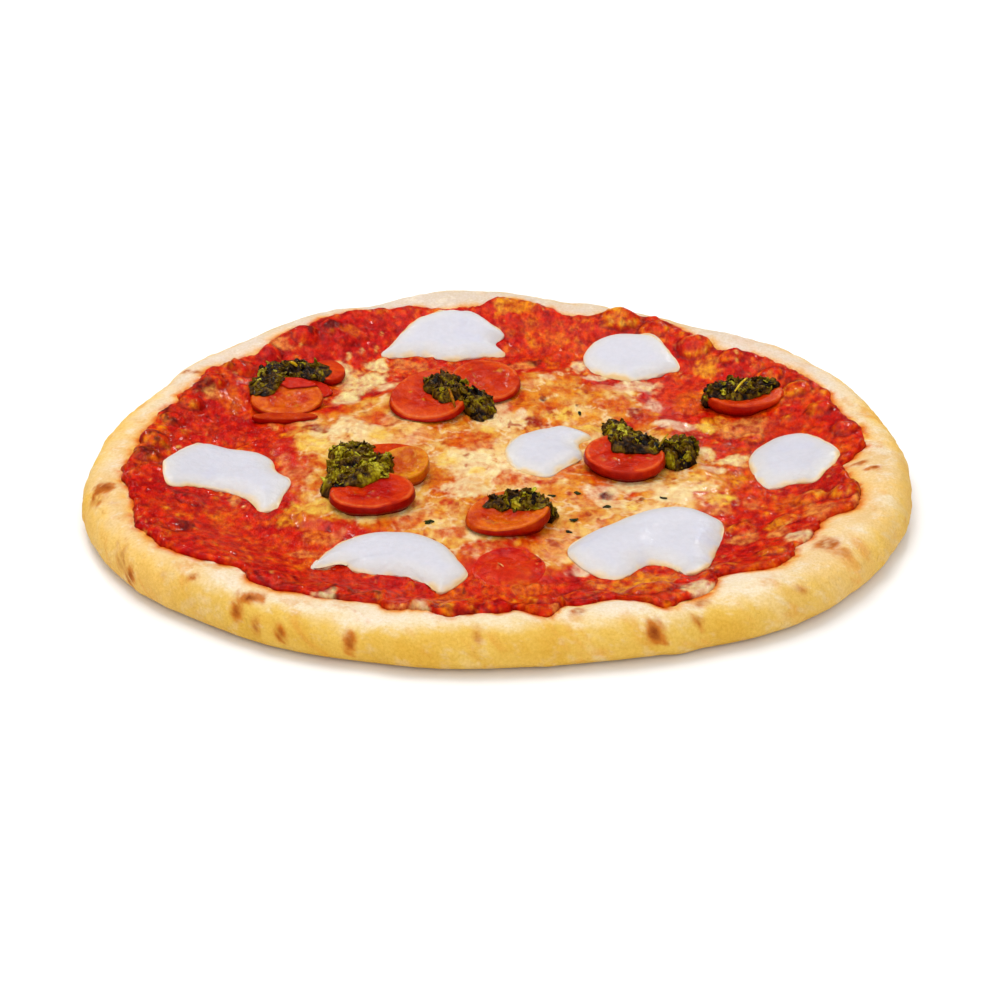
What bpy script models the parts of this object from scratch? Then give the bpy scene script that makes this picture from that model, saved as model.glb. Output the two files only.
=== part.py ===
"""Round margherita pizza: puffed crust, tomato sauce, melted cheese, fresh mozzarella, tomatoes and basil.

Lengths and places are millimetres in the part's own frame, and MM turns them into Blender's metres.
The pizza lies flat on z = 0, its middle is the origin, +Y points to its back and angles run
anticlockwise from +X in degrees. Every solid is a stack of closed rings, so one function builds them all.
"""

import math

import bpy
import numpy as np
from mathutils import Vector
from mathutils.bvhtree import BVHTree

MM = 0.001
GAP = 0.4  # free space kept between two solids that touch
THINNEST = 0.7  # least thickness of a topping near its edge
LEAST_GAP = 0.25
LEVEL_REACH = 6.0
SETTLE_STEPS = 60
SETTLE_RISE = 0.15
SETTLE_REACH = 4.0  # a raised spot lifts its surroundings over about this distance

# Crust: the outer edge, and the puffed rim seen in section.
CRUST_RADIUS = 158.0
EDGE_SWELLS = (  # angle, half width in degrees, millimetres out
    (100, 26, 7.0),
    (197, 20, 7.0),
    (218, 10, 3.0),
    (252, 9, -2.5),
    (281, 26, -8.0),
    (325, 26, 5.0),
    (158, 9, -3.4),
    (64, 12, -2.0),
    (36, 22, 5.0),
    (0, 28, 3.5),
)
DOUGH_BASE = 6.0
FLAT_RADIUS = 106.0
CREST_INSET = 12.5
RIM_HEIGHT = 16.5
RIM_BELLY = 6.5
FOOT_INSET = 7.0
CREST_SWELLS = (
    (98, 20, 2.0),
    (112, 5, -1.5),
    (124, 9, 2.5),
    (265, 30, -1.0),
    (215, 18, 1.5),
    (345, 18, 1.5),
    (60, 12, -2.0),
    (150, 10, 1.0),
)
RIM_ANGLES = np.arange(112) * 360.0 / 112

# Tomato sauce: a thin layer that climbs the rim and ends in an uneven, lumpy edge.
SAUCE_INSET = 16.0  # how far its edge usually stays inside the crust's
SAUCE_TONGUES = (  # angle, half width in degrees, millimetres out
    (5, 4, 3.0),
    (32, 26, -2.0),
    (46, 4, -5.0),
    (62, 7, 8.0),
    (77, 5, -4.0),
    (98, 7, -8.0),
    (118, 6, 2.5),
    (142, 9, -2.5),
    (168, 12, -1.5),
    (211, 6, 5.0),
    (227, 3.5, -5.0),
    (234, 2.5, 2.5),
    (242, 5, -4.0),
    (250, 4, -8.0),
    (258, 2, -6.0),
    (262, 2.5, 4.0),
    (272, 3, -6.0),
    (277, 2.5, 4.0),
    (281, 2, -8.0),
    (288, 3.5, -12.0),
    (295, 3, 6.0),
    (309, 4, -14.0),
    (325, 6, -9.0),
    (333, 3, -8.0),
    (352, 6, -10.0),
)
SAUCE_SCALLOP = 2.0
SAUCE_TOP = 8.0  # height of its flat middle
SAUCE_EDGE = 1.3
SAUCE_LUMPS = (  # angle, distance from the middle, radius and height of the large lumps
    (6, 140, 5.5, 2.0),
    (13, 106, 5.0, 1.5),
    (15, 137, 5.5, 2.2),
    (24, 136, 6.0, 2.0),
    (32, 136, 5.5, 2.2),
    (42, 135, 5.5, 2.0),
    (50, 133, 8.0, 2.8),
    (60, 138, 6.5, 2.0),
    (67, 140, 8.5, 3.0),
    (121, 129, 5.0, 1.5),
    (122, 137, 5.0, 2.0),
    (128, 136, 6.0, 2.2),
    (137, 134, 5.5, 2.4),
    (145, 133, 5.5, 2.0),
    (153, 133, 5.0, 2.2),
    (162, 132, 5.0, 2.0),
    (169, 134, 5.0, 2.0),
    (178, 137, 6.0, 2.6),
    (184, 138, 6.0, 2.6),
    (198, 124, 5.0, 1.2),
    (209, 140, 6.0, 1.5),
    (234, 134, 6.5, 1.5),
    (243, 126, 6.5, 2.0),
    (250, 120, 6.0, 2.2),
    (258, 128, 5.0, 1.8),
    (264, 129, 7.0, 2.4),
    (270, 128, 5.5, 1.8),
    (278, 122, 7.5, 2.8),
    (285, 114, 6.0, 2.2),
    (296, 124, 9.5, 3.0),
    (311, 124, 5.5, 2.0),
    (319, 133, 5.0, 2.0),
    (329, 108, 5.5, 1.8),
    (333, 122, 5.0, 2.0),
    (342, 126, 6.0, 2.2),
    (342, 139, 6.0, 2.6),
)

# Melted cheese: a blistered sheet over the middle of the sauce.
CHEESE_MEAN = 90.0
CHEESE_RAGGED = 8.0
CHEESE_TOP = 9.6
CHEESE_EDGE = 0.7
CHEESE_BLISTER = 0.7
CHEESE_ANGLES = np.arange(84) * 360.0 / 84

# Fresh mozzarella: name, thickness, and its outline clockwise from its left end.
MOZZARELLA = (
    (
        "mozzarella_back",
        4.0,
        ((-50, 103), (-47, 112), (-37, 128), (-27, 134), (-19, 135), (-9, 133), (-2, 127), (3, 121), (-1, 116),
         (3, 108), (-7, 105), (-19, 102), (-33, 105)),
    ),
    (
        "mozzarella_back_right",
        3.6,
        ((37, 103), (41, 112), (48, 117), (56, 118), (65, 115), (71, 109), (75, 99), (78, 89), (71, 86),
         (58, 80), (48, 84), (40, 92)),
    ),
    (
        "mozzarella_left",
        3.4,
        ((-131, -16), (-129, -5), (-124, 5), (-116, 13), (-105, 12), (-96, 9), (-90, 3), (-87, -8), (-81, -18),
         (-83, -29), (-85, -39), (-91, -42), (-97, -31), (-105, -25), (-116, -25), (-127, -30)),
    ),
    (
        "mozzarella_middle",
        3.2,
        ((3, 10), (7, 20), (14, 27), (20, 30), (28, 31), (38, 21), (33, 15), (34, 3), (26, -7), (19, -14),
         (10, -10), (4, 0)),
    ),
    (
        "mozzarella_right",
        3.4,
        ((100, -2), (103, 11), (112, 21), (120, 21), (127, 14), (135, -6), (129, -19), (123, -27), (115, -21),
         (105, -21)),
    ),
    (
        "mozzarella_front_left",
        3.8,
        ((-68, -87), (-65, -78), (-60, -69), (-53, -64), (-45, -62), (-34, -62), (-26, -66), (-19, -73),
         (-15, -82), (-11, -93), (-20, -106), (-26, -99), (-36, -92), (-50, -91), (-57, -84)),
    ),
    (
        "mozzarella_front_right",
        3.6,
        ((26, -80), (27, -72), (35, -62), (46, -53), (57, -44), (68, -41), (77, -42), (85, -50), (84, -64),
         (76, -92), (69, -95), (64, -86), (55, -84), (45, -95), (33, -91)),
    ),
)

MOZZARELLA_ROUNDING = 9.0  # breadth of its rounded shoulder

# Tomato pieces: name, middle, length, width, turn, height of the cut face over the bed at its middle,
# tilt of that face towards the front, tilt towards the right, and how far the cut face is hollowed.
TOMATOES = (
    ("tomato_left_front", (-88.0, 56.0), 30.0, 24.0, 0.0, 4.2, 12.0, 0.0, 1.2),
    ("tomato_left_under", (-88.0, 40.6), 27.0, 6.0, 1.0, 2.4, 0.0, 0.0, 0.0),
    ("tomato_left_back", (-83.5, 69.5), 27.0, 16.0, -4.0, 1.0, 6.0, 0.0, -0.6),
    ("tomato_left_right", (-72.5, 84.0), 14.0, 16.0, -20.0, 3.6, 8.0, 6.0, -0.6),
    ("tomato_back_left", (-28.4, 50.5), 31.5, 33.0, 10.0, 6.0, 13.0, -4.0, 0.9),
    ("tomato_back_right", (-4.8, 69.5), 28.5, 31.0, 10.0, 4.6, 7.0, 4.0, 0.9),
    ("tomato_middle_front", (-48.0, -37.0), 33.0, 26.0, 12.0, 5.2, 4.0, 0.0, 1.6),
    ("tomato_middle_right", (-37.0, -13.5), 21.0, 20.0, 24.0, 6.4, 12.0, -6.0, 1.8),
    ("tomato_middle_back", (-42.0, 3.0), 22.0, 9.0, -4.0, 3.6, 0.0, 0.0, 0.0),
    ("tomato_front", (4.0, -54.8), 31.0, 24.0, 6.0, 5.8, 10.0, -6.0, 1.4),
    ("tomato_front_flat", (4.3, -87.4), 25.5, 26.0, 0.0, 1.2, 0.0, 0.0, 0.0),
    ("tomato_right_middle", (50.4, -6.0), 31.0, 29.5, -6.0, 6.6, 6.0, 0.0, 1.0),
    ("tomato_right_back", (102.6, 54.8), 32.0, 24.0, 4.0, 5.6, 4.0, 0.0, 1.2),
)
TOMATO_BELLY = 1.035  # breadth of the skin halfway down, as a share of the cut face
TOMATO_FOOT = 0.88

# Chopped basil: name, thickness, and its outline clockwise from its left end.
BASIL = (
    (
        "basil_left",
        3.0,
        ((-104, 59), (-103, 72), (-99, 82), (-92, 88), (-84, 91), (-76, 88), (-71, 82), (-73, 76), (-82, 77),
         (-90, 72), (-93, 58), (-98, 55)),
    ),
    (
        "basil_back",
        4.4,
        ((-31, 55), (-30, 61), (-25, 63), (-19, 60), (-14, 57), (-7, 58), (-1, 53), (-2, 43), (-8, 37),
         (-13, 43), (-16, 45), (-22, 44), (-27, 49)),
    ),
    (
        "basil_middle",
        7.4,
        ((-69, -28), (-67, -20), (-67, -4), (-67, 8), (-60, 14), (-52, 9), (-48, -3), (-41, -12), (-42, -27),
         (-49, -33), (-56, -34), (-63, -36)),
    ),
    (
        "basil_front",
        3.0,
        ((-5, -52), (-2, -47), (3, -46), (10, -44), (17, -43), (23, -46), (22, -53), (17, -57), (11, -56),
         (1, -54)),
    ),
    (
        "basil_right",
        5.0,
        ((45, -3), (44, 13), (43, 30), (48, 37), (53, 28), (57, 20), (66, 13), (66, -2), (62, -8), (54, -7),
         (48, -6)),
    ),
    (
        "basil_right_end",
        7.0,
        ((65, -4), (66, 5), (68, 12), (74, 16), (79, 15), (80, 7), (78, -3), (72, -8)),
    ),
    (
        "basil_right_back",
        4.2,
        ((85, 53), (87, 61), (94, 62), (106, 64), (114, 65), (118, 61), (112, 53), (102, 47), (92, 48)),
    ),
)
BASIL_CRAG = 0.3  # depth of its lumps as a share of its thickness
OUTLINE_STEPS = 8  # steps of the smooth curve between two points of an outline

# Loose flecks of herb that stick to the cheese: place and length.
HERB_FLECKS = (
    ((-26.0, -53.0), 5.0),
    ((21.0, -31.0), 3.2),
    ((29.0, -52.0), 3.4),
    ((27.0, -60.0), 3.0),
    ((42.0, -40.0), 3.4),
    ((31.0, -29.0), 2.8),
    ((64.0, -34.0), 3.0),
    ((-34.0, 6.0), 2.6),
    ((34.0, 44.0), 3.0),
    ((-64.0, 8.0), 2.6),
)

COLOURS = {
    "crust": ((0.80, 0.53, 0.24, 1.0), 0.75),
    "sauce": ((0.58, 0.035, 0.008, 1.0), 0.35),
    "cheese": ((0.86, 0.52, 0.19, 1.0), 0.35),
    "mozzarella": ((0.82, 0.80, 0.80, 1.0), 0.4),
    "tomato": ((0.62, 0.06, 0.01, 1.0), 0.25),
    "basil": ((0.05, 0.06, 0.008, 1.0), 0.5),
}

NOISE_TABLES = [np.random.default_rng(seed).random((64, 64)) for seed in range(6)]


def swell(angle, swells):
    """Sum of the named swells round the rim, at angles in degrees."""
    total = np.zeros_like(angle, dtype=float)
    for middle, half_width, height in swells:
        off = (angle - middle + 180.0) % 360.0 - 180.0
        total += height * np.exp(-((off / half_width) ** 2))
    return total


def noise(x, y, size, table):
    """Smooth noise from -1 to 1 whose patches are size millimetres wide."""
    values = NOISE_TABLES[table]
    count = len(values)
    u, v = np.asarray(x, float) / size, np.asarray(y, float) / size
    i, j = np.floor(u).astype(int), np.floor(v).astype(int)
    fu, fv = u - i, v - j
    fu, fv = fu * fu * (3 - 2 * fu), fv * fv * (3 - 2 * fv)
    low = values[i % count, j % count] * (1 - fu) + values[(i + 1) % count, j % count] * fu
    high = values[i % count, (j + 1) % count] * (1 - fu) + values[(i + 1) % count, (j + 1) % count] * fu
    return 2.0 * (low * (1 - fv) + high * fv) - 1.0


def smooth(t):
    """Eases from 0 to 1 as t goes from 0 to 1."""
    t = np.clip(t, 0.0, 1.0)
    return t * t * (3.0 - 2.0 * t)


def on_circle(radius, angle):
    turn = np.radians(angle)
    return radius * np.cos(turn), radius * np.sin(turn)


def crust_radius(angle):
    x, y = on_circle(CRUST_RADIUS, angle)
    return CRUST_RADIUS + swell(angle, EDGE_SWELLS) + 1.2 * noise(x, y, 34.0, 0)


def box_middle():
    """Middle of the box round the crust. It becomes the part's origin."""
    x, y = on_circle(crust_radius(RIM_ANGLES), RIM_ANGLES)
    return np.array([x.min() + x.max(), y.min() + y.max(), 0.0]) / 2.0


def crest_height(angle):
    x, y = on_circle(CRUST_RADIUS, angle)
    return RIM_HEIGHT + swell(angle, CREST_SWELLS) + 1.0 * noise(x, y, 26.0, 1)


def dough_top(radius, angle):
    """Height of the dough inside the crest of the rim."""
    crest = crust_radius(angle) - CREST_INSET
    rise = smooth((radius - FLAT_RADIUS) / (crest - FLAT_RADIUS))
    return DOUGH_BASE + (crest_height(angle) - DOUGH_BASE) * rise


def sauce_reach(angle):
    outer = crust_radius(angle)
    x, y = on_circle(outer, angle)
    ragged = SAUCE_SCALLOP * noise(x, y, 11.0, 2)
    most = outer - 0.6 * CREST_INSET
    return np.minimum(outer - SAUCE_INSET + swell(angle, SAUCE_TONGUES) + ragged, most)


def cheese_reach(angle):
    x, y = on_circle(CHEESE_MEAN, angle)
    return CHEESE_MEAN + CHEESE_RAGGED * noise(x, y, 22.0, 3)


def sauce_lumps():
    """The large lumps of tomato along the outer edge of the sauce: x, y, radius and height."""
    for angle, radius, size, tall in SAUCE_LUMPS:
        x, y = on_circle(radius, angle)
        yield float(x), float(y), size, tall


LUMPS = list(sauce_lumps())


def sauce_top(x, y):
    """Height of the sauce: flat in the middle, then it follows the rim under lumps."""
    radius, angle = np.hypot(x, y), np.degrees(np.arctan2(y, x))
    outer = smooth((radius - cheese_reach(angle) - 2.0) / 8.0)
    height = dough_top(radius, angle) + (SAUCE_TOP - DOUGH_BASE)
    height = height + 0.5 * outer * noise(x, y, 9.0, 4)
    for at_x, at_y, size, tall in LUMPS:
        near = np.clip(1.0 - ((x - at_x) ** 2 + (y - at_y) ** 2) / size**2, 0.0, 1.0)
        height = height + outer * tall * np.sqrt(near) * near**0.25
    return height


def cheese_top(x, y, share):
    """Height of the cheese, where share runs from 0 in the middle to 1 at its edge."""
    full = CHEESE_TOP + CHEESE_BLISTER * noise(x, y, 12.0, 5)
    thin = SAUCE_TOP + GAP + CHEESE_EDGE
    return thin + (full - thin) * smooth((1.0 - share) * 6.0)


def material(slot):
    colour, roughness = COLOURS[slot]
    made = bpy.data.materials.get(slot)
    if made is None:
        made = bpy.data.materials.new(slot)
        made.use_nodes = True
        shader = made.node_tree.nodes["Principled BSDF"]
        shader.inputs["Base Color"].default_value = colour
        shader.inputs["Roughness"].default_value = roughness
        shader.inputs["Metallic"].default_value = 0.0
        made.diffuse_color = colour
    return made


def ring(x, y, z):
    return np.stack([x, y, np.broadcast_to(z, x.shape)], axis=1)


def ring_shell(top, rings, bottom):
    """Points and faces of a closed shell: a fan, strips from ring to ring, and a fan at the bottom."""
    count = len(rings[0])
    points = np.vstack([[top], *rings, [bottom]])
    last = len(points) - 1
    faces = []
    widths = [np.ptp(r[:, 0]) for r in rings]
    for j in range(count):
        k = (j + 1) % count
        faces.append((0, 1 + j, 1 + k))
        for i in range(len(rings) - 1):
            a, b = 1 + i * count + j, 1 + (i + 1) * count + j
            d, c = 1 + i * count + k, 1 + (i + 1) * count + k
            widens = widths[i + 1] > widths[i]
            faces += [(a, b, c), (a, c, d)] if widens else [(a, b, d), (b, c, d)]
        foot = last - count
        faces.append((foot + j, last, foot + k))
    return points, faces


def solid(name, slot, points, faces):
    """The object made of a shell, moved so that the middle of the part's box is the origin."""
    mesh = bpy.data.meshes.new(name)
    mesh.from_pydata([tuple(p) for p in (points - box_middle()) * MM], [], faces)
    mesh.shade_smooth()
    mesh.set_sharp_from_angle(angle=math.radians(50))
    mesh.materials.append(material(slot))
    made = bpy.data.objects.new(name, mesh)
    bpy.context.scene.collection.objects.link(made)
    return made


def under_rings(angle):
    """The rings that the top of the dough and the underside of the sauce share, from the middle outwards."""
    reach = sauce_reach(angle)
    for share in (0.0, 0.5, 1.0):
        radius = FLAT_RADIUS + (reach - FLAT_RADIUS) * share
        yield (*on_circle(radius, angle), dough_top(radius, angle))


def build_crust():
    angle = RIM_ANGLES
    reach, outer, crest = sauce_reach(angle), crust_radius(angle), crest_height(angle)
    crest_radius = outer - CREST_INSET
    rings = [ring(x, y, z) for x, y, z in under_rings(angle)]
    for share in (0.4, 0.8):
        radius = reach + (np.maximum(crest_radius, reach + 1.0) - reach) * share
        height = np.where(radius < crest_radius, dough_top(radius, angle), crest)
        rings.append(ring(*on_circle(radius, angle), height))
    start = np.maximum(crest_radius, reach + 1.0)
    for turn in (80, 58, 36, 14, -14, -42):
        rise, out = math.sin(math.radians(turn)), math.cos(math.radians(turn))
        radius = start + (outer - start) * out**0.85
        half = crest - RIM_BELLY if turn > 0 else RIM_BELLY
        rings.append(ring(*on_circle(radius, angle), RIM_BELLY + half * rise))
    rings.append(ring(*on_circle(outer - FOOT_INSET, angle), 0.0))
    return solid("crust", "crust", *ring_shell((0, 0, DOUGH_BASE), rings, (0, 0, 0)))


def build_sauce():
    angle = RIM_ANGLES
    reach, inner = sauce_reach(angle), cheese_reach(angle) + 2.0
    rings = []
    for share in (0.0, 0.22, 0.42, 0.58, 0.72, 0.84, 0.94):
        x, y = on_circle(inner + (reach - inner) * share, angle)
        rings.append(ring(x, y, sauce_top(x, y)))
    rings.append(ring(*on_circle(reach, angle), dough_top(reach, angle) + GAP + SAUCE_EDGE))
    rings += [ring(x, y, z + GAP) for x, y, z in reversed(list(under_rings(angle)))]
    return solid("tomato_sauce", "sauce", *ring_shell((0, 0, SAUCE_TOP), rings, (0, 0, DOUGH_BASE + GAP)))


def build_cheese():
    angle = CHEESE_ANGLES
    reach = cheese_reach(angle)
    rings = []
    for share in (0.16, 0.33, 0.5, 0.66, 0.8, 0.92, 1.0):
        x, y = on_circle(reach * share, angle)
        rings.append(ring(x, y, cheese_top(x, y, share)))
    rings.append(ring(*on_circle(reach, angle), SAUCE_TOP + GAP))
    middle = float(cheese_top(np.zeros(1), np.zeros(1), 0.0)[0])
    return solid("melted_cheese", "cheese", *ring_shell((0, 0, middle), rings, (0, 0, SAUCE_TOP + GAP)))


def fuse_flecks(cheese):
    """Joins the flecks of herb to the cheese with one Boolean union."""
    flecks = bpy.data.collections.new("herb_flecks")
    for k, ((x, y), length) in enumerate(HERB_FLECKS):
        turn = np.arange(6) * 60.0 + 37.0 * k
        spread = on_circle(length / 2.0, turn)
        high = CHEESE_TOP + CHEESE_BLISTER + 0.2
        rings = [
            ring(x + 0.7 * spread[0], y + 0.45 * spread[1], high),
            ring(x + spread[0], y + 0.6 * spread[1], high - 0.6),
            ring(x + 0.7 * spread[0], y + 0.45 * spread[1], SAUCE_TOP + 2 * GAP),
        ]
        shell = ring_shell((x, y, high + 0.2), rings, (x, y, SAUCE_TOP + 2 * GAP))
        fleck = solid(f"fleck_{k}", "basil", *shell)
        bpy.context.scene.collection.objects.unlink(fleck)
        flecks.objects.link(fleck)
    join = cheese.modifiers.new("join flecks", "BOOLEAN")
    join.operation = "UNION"
    join.operand_type = "COLLECTION"
    join.collection = flecks
    join.solver = "EXACT"
    bpy.context.scene.collection.children.link(flecks)
    bpy.context.view_layer.update()
    joined = bpy.data.meshes.new_from_object(cheese.evaluated_get(bpy.context.evaluated_depsgraph_get()))
    cheese.modifiers.remove(join)
    cheese.data = joined
    for fleck in list(flecks.objects):
        bpy.data.objects.remove(fleck)
    bpy.data.collections.remove(flecks)


class Bed:
    """What the toppings rest on: the solids laid so far, felt from above."""

    SKY = 80.0

    def __init__(self):
        self.trees = []

    def add(self, piece):
        points = [v.co / MM + Vector(box_middle()) for v in piece.data.vertices]
        faces = [tuple(p.vertices) for p in piece.data.polygons]
        self.trees.append(BVHTree.FromPolygons(points, faces))

    def heights(self, x, y):
        """Height of the highest surface under each point."""
        down = Vector((0.0, 0.0, -1.0))
        found = []
        for at in zip(x, y, strict=True):
            hits = [tree.ray_cast(Vector((*at, self.SKY)), down)[0] for tree in self.trees]
            found.append(max((hit.z for hit in hits if hit is not None), default=0.0))
        return np.array(found)

    def level(self, x, y):
        """Height of the bed evened out over the width of a small topping."""
        spots = [on_circle(LEVEL_REACH * share, turn) for share in (0.5, 1.0) for turn in range(0, 360, 45)]
        return np.mean([self.heights(x + dx, y + dy) for dx, dy in spots], axis=0)

    def settle(self, points, faces):
        """Raises a piece a little wherever it is too near the bed, until it is clear all over."""
        for _ in range(SETTLE_STEPS):
            lowered = [Vector((x, y, z - LEAST_GAP)) for x, y, z in points]
            tree = BVHTree.FromPolygons(lowered, faces)
            struck = {pair[0] for other in self.trees for pair in tree.overlap(other)}
            if not struck:
                break
            spots = points[sorted({corner for face in struck for corner in faces[face]})]
            away = np.hypot(points[:, None, 0] - spots[:, 0], points[:, None, 1] - spots[:, 1]).min(axis=1)
            points[:, 2] += SETTLE_RISE * np.exp(-((away / SETTLE_REACH) ** 2))
        return points


def inside(x, y, edge_x, edge_y):
    """Distance from each point to an outline, given by many points of it."""
    return np.hypot(x[:, None] - edge_x, y[:, None] - edge_y).min(axis=1)


def through(points, count):
    """Share of the way out -> a ring of points, inside a smooth closed curve through an outline's points."""
    knots = np.array(points[::-1], float)
    steps = np.arange(OUTLINE_STEPS)[:, None] / OUTLINE_STEPS
    spans = []
    for k in range(len(knots)):
        before, start, end, after = (knots[(k + step) % len(knots)] for step in (-1, 0, 1, 2))
        bend = 2 * before - 5 * start + 4 * end - after
        twist = 3 * start - before - 3 * end + after
        spans.append(start + 0.5 * ((end - before) * steps + bend * steps**2 + twist * steps**3))
    curve = np.vstack([*spans, spans[0][:1]])
    along = np.concatenate([[0.0], np.cumsum(np.hypot(*np.diff(curve, axis=0).T))])
    at = np.arange(count) * along[-1] / count
    x, y = np.interp(at, along, curve[:, 0]), np.interp(at, along, curve[:, 1])
    middle = x.mean(), y.mean()
    return lambda share: (middle[0] + share * (x - middle[0]), middle[1] + share * (y - middle[1]))


def oval(middle, length, width, turn, seed, count):
    """Share of the way out -> a ring of points, inside a slightly uneven oval."""
    draw = np.random.default_rng(seed)
    around = np.arange(count) * 2.0 * math.pi / count
    uneven = 1.0 + 0.02 * np.cos(2 * around + draw.uniform(0, 6))
    uneven += 0.015 * np.cos(3 * around + draw.uniform(0, 6))
    u, v = 0.5 * length * uneven * np.cos(around), 0.5 * width * uneven * np.sin(around)
    cos, sin = math.cos(math.radians(turn)), math.sin(math.radians(turn))
    return lambda share: (middle[0] + share * (u * cos - v * sin), middle[1] + share * (u * sin + v * cos))


def topping(bed, name, slot, shape, shares, top_of, sides):
    """A piece laid on the bed.

    shape gives its rings, top_of its upper height, and sides its rings under the top's edge, each as
    the share of the way out and the share of the way down.
    """
    rings = []
    for share in shares:
        x, y = shape(share)
        foot = bed.heights(x, y) + GAP
        rings.append(ring(x, y, np.maximum(top_of(x, y, share, foot), foot + THINNEST)))
    edge = rings[-1][:, 2]
    for share, down in sides:
        x, y = shape(share)
        rings.append(ring(x, y, edge + (bed.heights(x, y) + GAP - edge) * down))
    x, y = (a[:1] for a in shape(0.0))
    foot = bed.heights(x, y) + GAP
    top = np.maximum(top_of(x, y, 0.0, foot), foot + THINNEST)
    points, faces = ring_shell((x[0], y[0], top[0]), rings, (x[0], y[0], foot[0]))
    return solid(name, slot, bed.settle(points, faces), faces)


def build_mozzarella(bed):
    for name, thickness, points in MOZZARELLA:
        edge = through(points, 96)(1.0)

        def top_of(x, y, share, foot, thickness=thickness, edge=edge):
            inward = np.minimum(inside(x, y, *edge) / MOZZARELLA_ROUNDING, 1.0)
            return foot + thickness * (1.0 - (1.0 - inward) ** 2) ** 0.75 + 0.4 * noise(x, y, 14.0, 2)

        shape = through(points, 24)
        sides = ((0.97, 1.0), (0.5, 1.0))
        yield topping(bed, name, "mozzarella", shape, (0.45, 0.75, 0.93, 1.0), top_of, sides)


def build_tomatoes(bed):
    for seed, row in enumerate(TOMATOES):
        name, middle, length, width, turn, face, to_front, to_right, hollow = row
        level = bed.heights(*np.array([middle]).T)[0] + GAP + face

        def top_of(x, y, share, foot, middle=middle, level=level, lean=(to_front, to_right), hollow=hollow):
            slope = (y - middle[1]) * math.tan(math.radians(lean[0]))
            slope = slope - (x - middle[0]) * math.tan(math.radians(lean[1]))
            return level + slope - hollow * (1.0 - smooth(share * 1.2)) - 0.5 * float(share == 1.0)

        shape = oval(middle, length, width, turn, seed, 18)
        sides = ((TOMATO_BELLY, 0.4), (TOMATO_FOOT, 1.0), (0.45, 1.0))
        yield topping(bed, name, "tomato", shape, (0.5, 0.92, 1.0), top_of, sides)


def build_basil(bed):
    for name, thickness, points in BASIL:

        def top_of(x, y, share, foot, thickness=thickness):
            dome = np.sqrt(np.maximum(0.0, 1.0 - share**2.6))
            crag = BASIL_CRAG * (noise(x, y, 5.2, 4) + 0.5 * noise(x, y, 3.1, 3))
            return bed.level(x, y) + thickness * (dome * (1.0 + crag) - 0.1)

        shape = through(points, 24)
        sides = ((0.92, 1.0), (0.5, 1.0))
        yield topping(bed, name, "basil", shape, (0.3, 0.58, 0.82, 0.98), top_of, sides)


def main():
    for old in list(bpy.data.objects):
        bpy.data.objects.remove(old, do_unlink=True)
    crust, sauce, cheese = build_crust(), build_sauce(), build_cheese()
    fuse_flecks(cheese)
    bed = Bed()
    for layer in (crust, sauce, cheese):
        bed.add(layer)
    for build in (build_mozzarella, build_tomatoes, build_basil):
        for piece in build(bed):
            bed.add(piece)


main()
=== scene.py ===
"""The looks of a round margherita pizza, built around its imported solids.

Lengths and places are millimetres in the pizza's design frame: +Y points to its back, z = 0 is its
underside, angles run anticlockwise from +X in degrees. move_in() turns them into the row frame's metres.
Places read from the photograph are its pixel columns and rows, and seen() lays them on the food.
"""

import math

import bpy
import numpy as np
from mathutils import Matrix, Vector
from mathutils.bvhtree import BVHTree


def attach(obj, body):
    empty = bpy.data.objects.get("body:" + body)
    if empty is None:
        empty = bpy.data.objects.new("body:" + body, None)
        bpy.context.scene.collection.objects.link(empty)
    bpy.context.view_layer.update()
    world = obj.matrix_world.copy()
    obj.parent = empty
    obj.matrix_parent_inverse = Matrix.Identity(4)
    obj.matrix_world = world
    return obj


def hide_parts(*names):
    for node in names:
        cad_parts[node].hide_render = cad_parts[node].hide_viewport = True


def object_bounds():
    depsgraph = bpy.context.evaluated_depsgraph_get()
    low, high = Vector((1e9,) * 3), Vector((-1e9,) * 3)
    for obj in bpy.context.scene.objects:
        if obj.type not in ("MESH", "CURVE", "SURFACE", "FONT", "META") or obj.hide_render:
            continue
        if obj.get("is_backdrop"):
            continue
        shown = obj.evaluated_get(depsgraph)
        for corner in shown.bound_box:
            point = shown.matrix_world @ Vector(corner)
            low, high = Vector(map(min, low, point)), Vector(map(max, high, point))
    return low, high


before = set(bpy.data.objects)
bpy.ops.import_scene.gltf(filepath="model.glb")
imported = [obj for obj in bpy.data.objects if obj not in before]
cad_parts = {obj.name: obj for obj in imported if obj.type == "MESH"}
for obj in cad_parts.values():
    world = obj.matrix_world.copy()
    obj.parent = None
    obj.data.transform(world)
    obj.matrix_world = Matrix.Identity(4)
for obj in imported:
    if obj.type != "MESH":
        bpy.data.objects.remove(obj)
CAD_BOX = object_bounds()
MM = 0.001

# Camera, in the design frame. The photograph is 1000 pixels wide and high.
PHOTO_MIDDLE = 500.0
PHOTO_WIDTH = 1000.0
CAMERA_RISE = 27.0
CAMERA_AWAY = 950.0
CAMERA_AIM = np.array([1.0, -31.0, 8.0])
FOCAL_PIXELS = 2455.0
SENSOR = 36.0
CAMERA_BACK = np.array([0.0, -math.cos(math.radians(CAMERA_RISE)), math.sin(math.radians(CAMERA_RISE))])
CAMERA_UP = np.array([0.0, math.sin(math.radians(CAMERA_RISE)), math.cos(math.radians(CAMERA_RISE))])
CAMERA_PLACE = CAMERA_AIM + CAMERA_AWAY * CAMERA_BACK

# Pixels of the photograph to a millimetre across the pizza, to one of its depth and to one of its height.
PIXELS_WIDE = 2.58
PIXELS_DEEP = 1.17
PIXELS_HIGH = 2.0

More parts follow.
